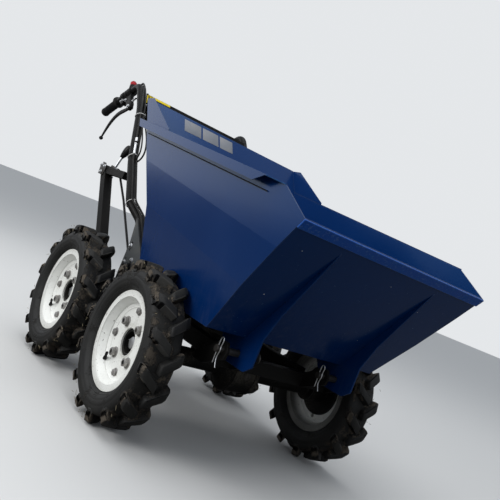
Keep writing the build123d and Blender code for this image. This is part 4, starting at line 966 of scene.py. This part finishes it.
detail([cleaner_knob], "cleaner_knob", BLACK_PLASTIC, "black_plastic")
cleaner_seam = wire_mesh([(-0.258, y, z) for y, z in (
    (-0.05, 0.412), (-0.05, 0.47), (-0.034, 0.486), (0.046, 0.486), (0.062, 0.47), (0.062, 0.412),
    (0.046, 0.396), (-0.034, 0.396))], 0.0024, 6, 8, cyclic=True)
detail([cleaner_seam], "cleaner_seam", BLACK_PLASTIC, "black_plastic", 60)
oil_filler = drum(0.013, 0.016, (-0.075, 0.045, 0.48), (0, 0, 1), 0.002, 10)
detail([oil_filler], "oil_filler", BLACK_PLASTIC, "black_plastic")


def belt_outline(upper, lower, steps=24):
    """Rounded outline over two pulleys of different radius, in side view."""
    points = []
    for centre, reach, first, last in ((CRANK, upper, -11.9, 159.9), (LOW_PULLEY, lower, 159.9, 348.1)):
        for n in range(steps + 1):
            spot = centre + polar(reach, math.radians(first + (last - first) * n / steps))
            points.append((spot.x, spot.z))
    return points


raised = side_plate(belt_outline(0.046, 0.032), COVER_FACE - 0.0012, 0.003, 0.001)
detail([raised], "belt_cover_panel", BLACK_PLASTIC, "frame_black")

# Gearbox and axles: cover bolts, plugs, ribs and joint collars
GEARBOX_BOLTS = ((-0.238, 0.186), (-0.184, 0.18), (-0.13, 0.186), (-0.238, 0.278), (-0.13, 0.278),
                 (-0.246, 0.232))
drive_bolts = [bolt((x, -0.066, z), (0, -1, 0), 0.005, 0.0045, 0.0082, x * 60 + z) for x, z in GEARBOX_BOLTS]
for step in range(8):
    angle = math.tau * (step + 0.5) / 8
    spot = (0.288, 0.027 * math.cos(angle), FRONT_AXLE.z + 0.027 * math.sin(angle))
    drive_bolts.append(bolt(spot, (-1, 0, 0), 0.0038, 0.004, 0.006, step))
drive_bolts += [bolt(spot, direction, 0.008, head, 0.012) for spot, direction, head in (
    ((FRONT_AXLE.x, 0, 0.162), (0, 0, -1), 0.007), ((0.45, 0, FRONT_AXLE.z), (1, 0, 0), 0.001),
    ((-0.15, 0, 0.168), (0, 0, -1), 0.007))]
detail(drive_bolts, "drive_bolts", GREASED, "bare_steel")
drive_ribs = []
for y in (-0.03906, 0.03906):
    rib = turned([(0.067, -0.006), (0.0728, -0.006), (0.0728, 0.006), (0.067, 0.006)], 64)
    drive_ribs.append(set_at(rib, Matrix.Translation(FRONT_AXLE + Vector((0, y, 0)))))
for y in (-0.04, -0.014, 0.014, 0.04):
    rib = block(0.06, 0.006, 0.004, 0.0015)
    drive_ribs.append(laid(rib, (-0.256, y, 0.23), (0, 0, 1), (-1, 0, 0)))
for x, length in ((-0.111, 0.022), (0.264, 0.023)):
    drive_ribs.append(drum(0.022, length, (x, 0, FRONT_AXLE.z), (1, 0, 0), 0.003))
for axle in (FRONT_AXLE, REAR_AXLE):
    for side in (1, -1):
        drive_ribs.append(drum(0.032, 0.012, (axle.x, side * 0.3 - 0.006, axle.z), (0, 1, 0), 0.003))
detail(drive_ribs, "drive_ribs", AXLE_BLACK, "frame_black")

# Black wires under the flange as painted shadow of its gap, blank plates on the rear wall and chips on the
# front plate
# Painted shadow: thin black wires along the flange's lower edge stand for the shade in the gap under it.
shadow_gap_wires = [wire_mesh([(x, side * 0.368, z) for x, z in ((-0.12, 0.8505), (0.3, 0.801), (0.72, 0.752))],
                   0.0016, 4, 8) for side in (1, -1)]
detail(shadow_gap_wires, "flange_painted_shadow_line", GRIP_RUBBER, "skip_blue", 60, "skip")
WALL_TOP = Vector((-0.249, 0, 0.983))
WALL_DOWN = Vector((0.301, 0, -0.37)).normalized()
WALL_FACE = Vector((-WALL_DOWN.z, 0, WALL_DOWN.x))
wall_spot = WALL_TOP + WALL_FACE * 0.003 + WALL_DOWN * 0.044
plates = [laid(block(width, 0.06, 0.0006, 0.0002), wall_spot + Vector((0, y, 0)), (0, 1, 0), WALL_FACE)
          for y, width in ((-0.1665, 0.078), (-0.0815, 0.076), (-0.004, 0.064))]
detail(plates, "blank_wall_labels", LABEL_SILVER, "skip_blue", body="skip")
FRONT_RUN = Vector((0.279, 0, 0.341)).normalized()
FRONT_FACE = Vector((FRONT_RUN.z, 0, -FRONT_RUN.x))
FRONT_FOOT = Vector((0.622, 0, 0.371))
chance = random.Random(5)
chips = []
for x, y, z, size in ((0.844, -0.292, 0.643, 0.0016), (0.734, -0.269, 0.508, 0.0021),
                      (0.846, 0.038, 0.645, 0.0014), (0.7, 0.14, 0.466, 0.0013),
                      (0.815, 0.21, 0.607, 0.0012)):
    rim = [(size * chance.uniform(0.6, 1.2) * across, size * chance.uniform(0.5, 1.0) * along)
           for across, along in circle(1.0, 9)]
    run = (Vector((x, 0, z)) - FRONT_FOOT).dot(FRONT_RUN)
    spot = FRONT_FOOT + FRONT_RUN * run + Vector((0, y, 0))
    chips.append(laid(prism(rim, 0.0003), spot, (0, 1, 0), FRONT_FACE))
detail(chips, "primer_chips", CHIP_PRIMER, "skip_blue", body="skip")

# Camera at the photograph's viewpoint
RIGHT = Vector((0.577363, 0.730941, 0.363823))
UP = Vector((-0.135185, -0.353878, 0.925473))
AHEAD = Vector((-0.805219, 0.583517, 0.105504))
PHOTO_SIZE = 500  # pixels, as the next two
FOCAL_LENGTH = 655.91
SIGHT_LINE = (293, 190)
SENSOR = 36.0
camera_data = bpy.data.cameras.new("photo_camera")
camera = added("photo_camera", camera_data)
camera_turn = Matrix((RIGHT, UP, -AHEAD)).transposed().to_4x4()
camera.matrix_world = Matrix.Translation((2.0866, -1.2843, 0.6039)) @ camera_turn
camera_data.sensor_width = SENSOR
camera_data.lens = SENSOR * FOCAL_LENGTH / PHOTO_SIZE
camera_data.shift_x = (PHOTO_SIZE / 2 - SIGHT_LINE[0]) / PHOTO_SIZE
camera_data.shift_y = (SIGHT_LINE[1] - PHOTO_SIZE / 2) / PHOTO_SIZE
bpy.context.scene.camera = camera

# Pale studio floor and soft light
floor_bm = bmesh.new()
bmesh.ops.create_grid(floor_bm, x_segments=1, y_segments=1, size=30.0)
floor = added("studio_floor", as_mesh(floor_bm, "studio_floor"))
floor_paint = Paint("studio_floor_paint")
floor_colour = floor_paint.tint(floor_paint.node("LightPath"), (0.17, 0.165, 0.155), (0.6, 0.6, 0.59))
floor.data.materials.append(floor_paint.finish(floor_colour, 0.85, specular=0.1))

world = bpy.data.worlds.new("studio_world")
bpy.context.scene.world = world
world.use_nodes = True
tree = world.node_tree
lit = tree.nodes["Background"]
lit.inputs["Color"].default_value = (0.8, 0.85, 0.92, 1)
lit.inputs["Strength"].default_value = 0.68
seen = tree.nodes.new("ShaderNodeBackground")
seen.inputs["Color"].default_value = (0.78, 0.8, 0.82, 1)
seen.inputs["Strength"].default_value = 1.0
rays = tree.nodes.new("ShaderNodeLightPath")
chosen = tree.nodes.new("ShaderNodeMixShader")
tree.links.new(rays.outputs["Is Camera Ray"], chosen.inputs[0])
tree.links.new(lit.outputs[0], chosen.inputs[1])
tree.links.new(seen.outputs[0], chosen.inputs[2])
tree.links.new(chosen.outputs[0], tree.nodes["World Output"].inputs[0])


def softbox(name, spot, target, size, watts, colour=(1, 1, 1)):
    """Lamp with a rectangular face that looks at a target."""
    light = bpy.data.lights.new(name, "AREA")
    light.shape = "RECTANGLE"
    light.size, light.size_y = size
    light.energy = watts
    light.color = colour
    lamp = added(name, light)
    lamp.location = spot
    lamp.rotation_euler = (Vector(target) - Vector(spot)).to_track_quat("-Z", "Y").to_euler()


softbox("overhead_softbox", (0.3, -0.5, 4.2), (0.1, 0, 0.4), (4.0, 4.0), 105)
softbox("side_softbox", (0.2, -4.6, 2.4), (0.1, 0, 0.5), (3.0, 2.0), 130, (0.98, 0.98, 0.98))
softbox("sheen_softbox", (-2.95, -1.95, 1.72), (0.2, -0.36, 1.7), (3.2, 2.0), 16)

bpy.context.scene.view_settings.view_transform = "Standard"
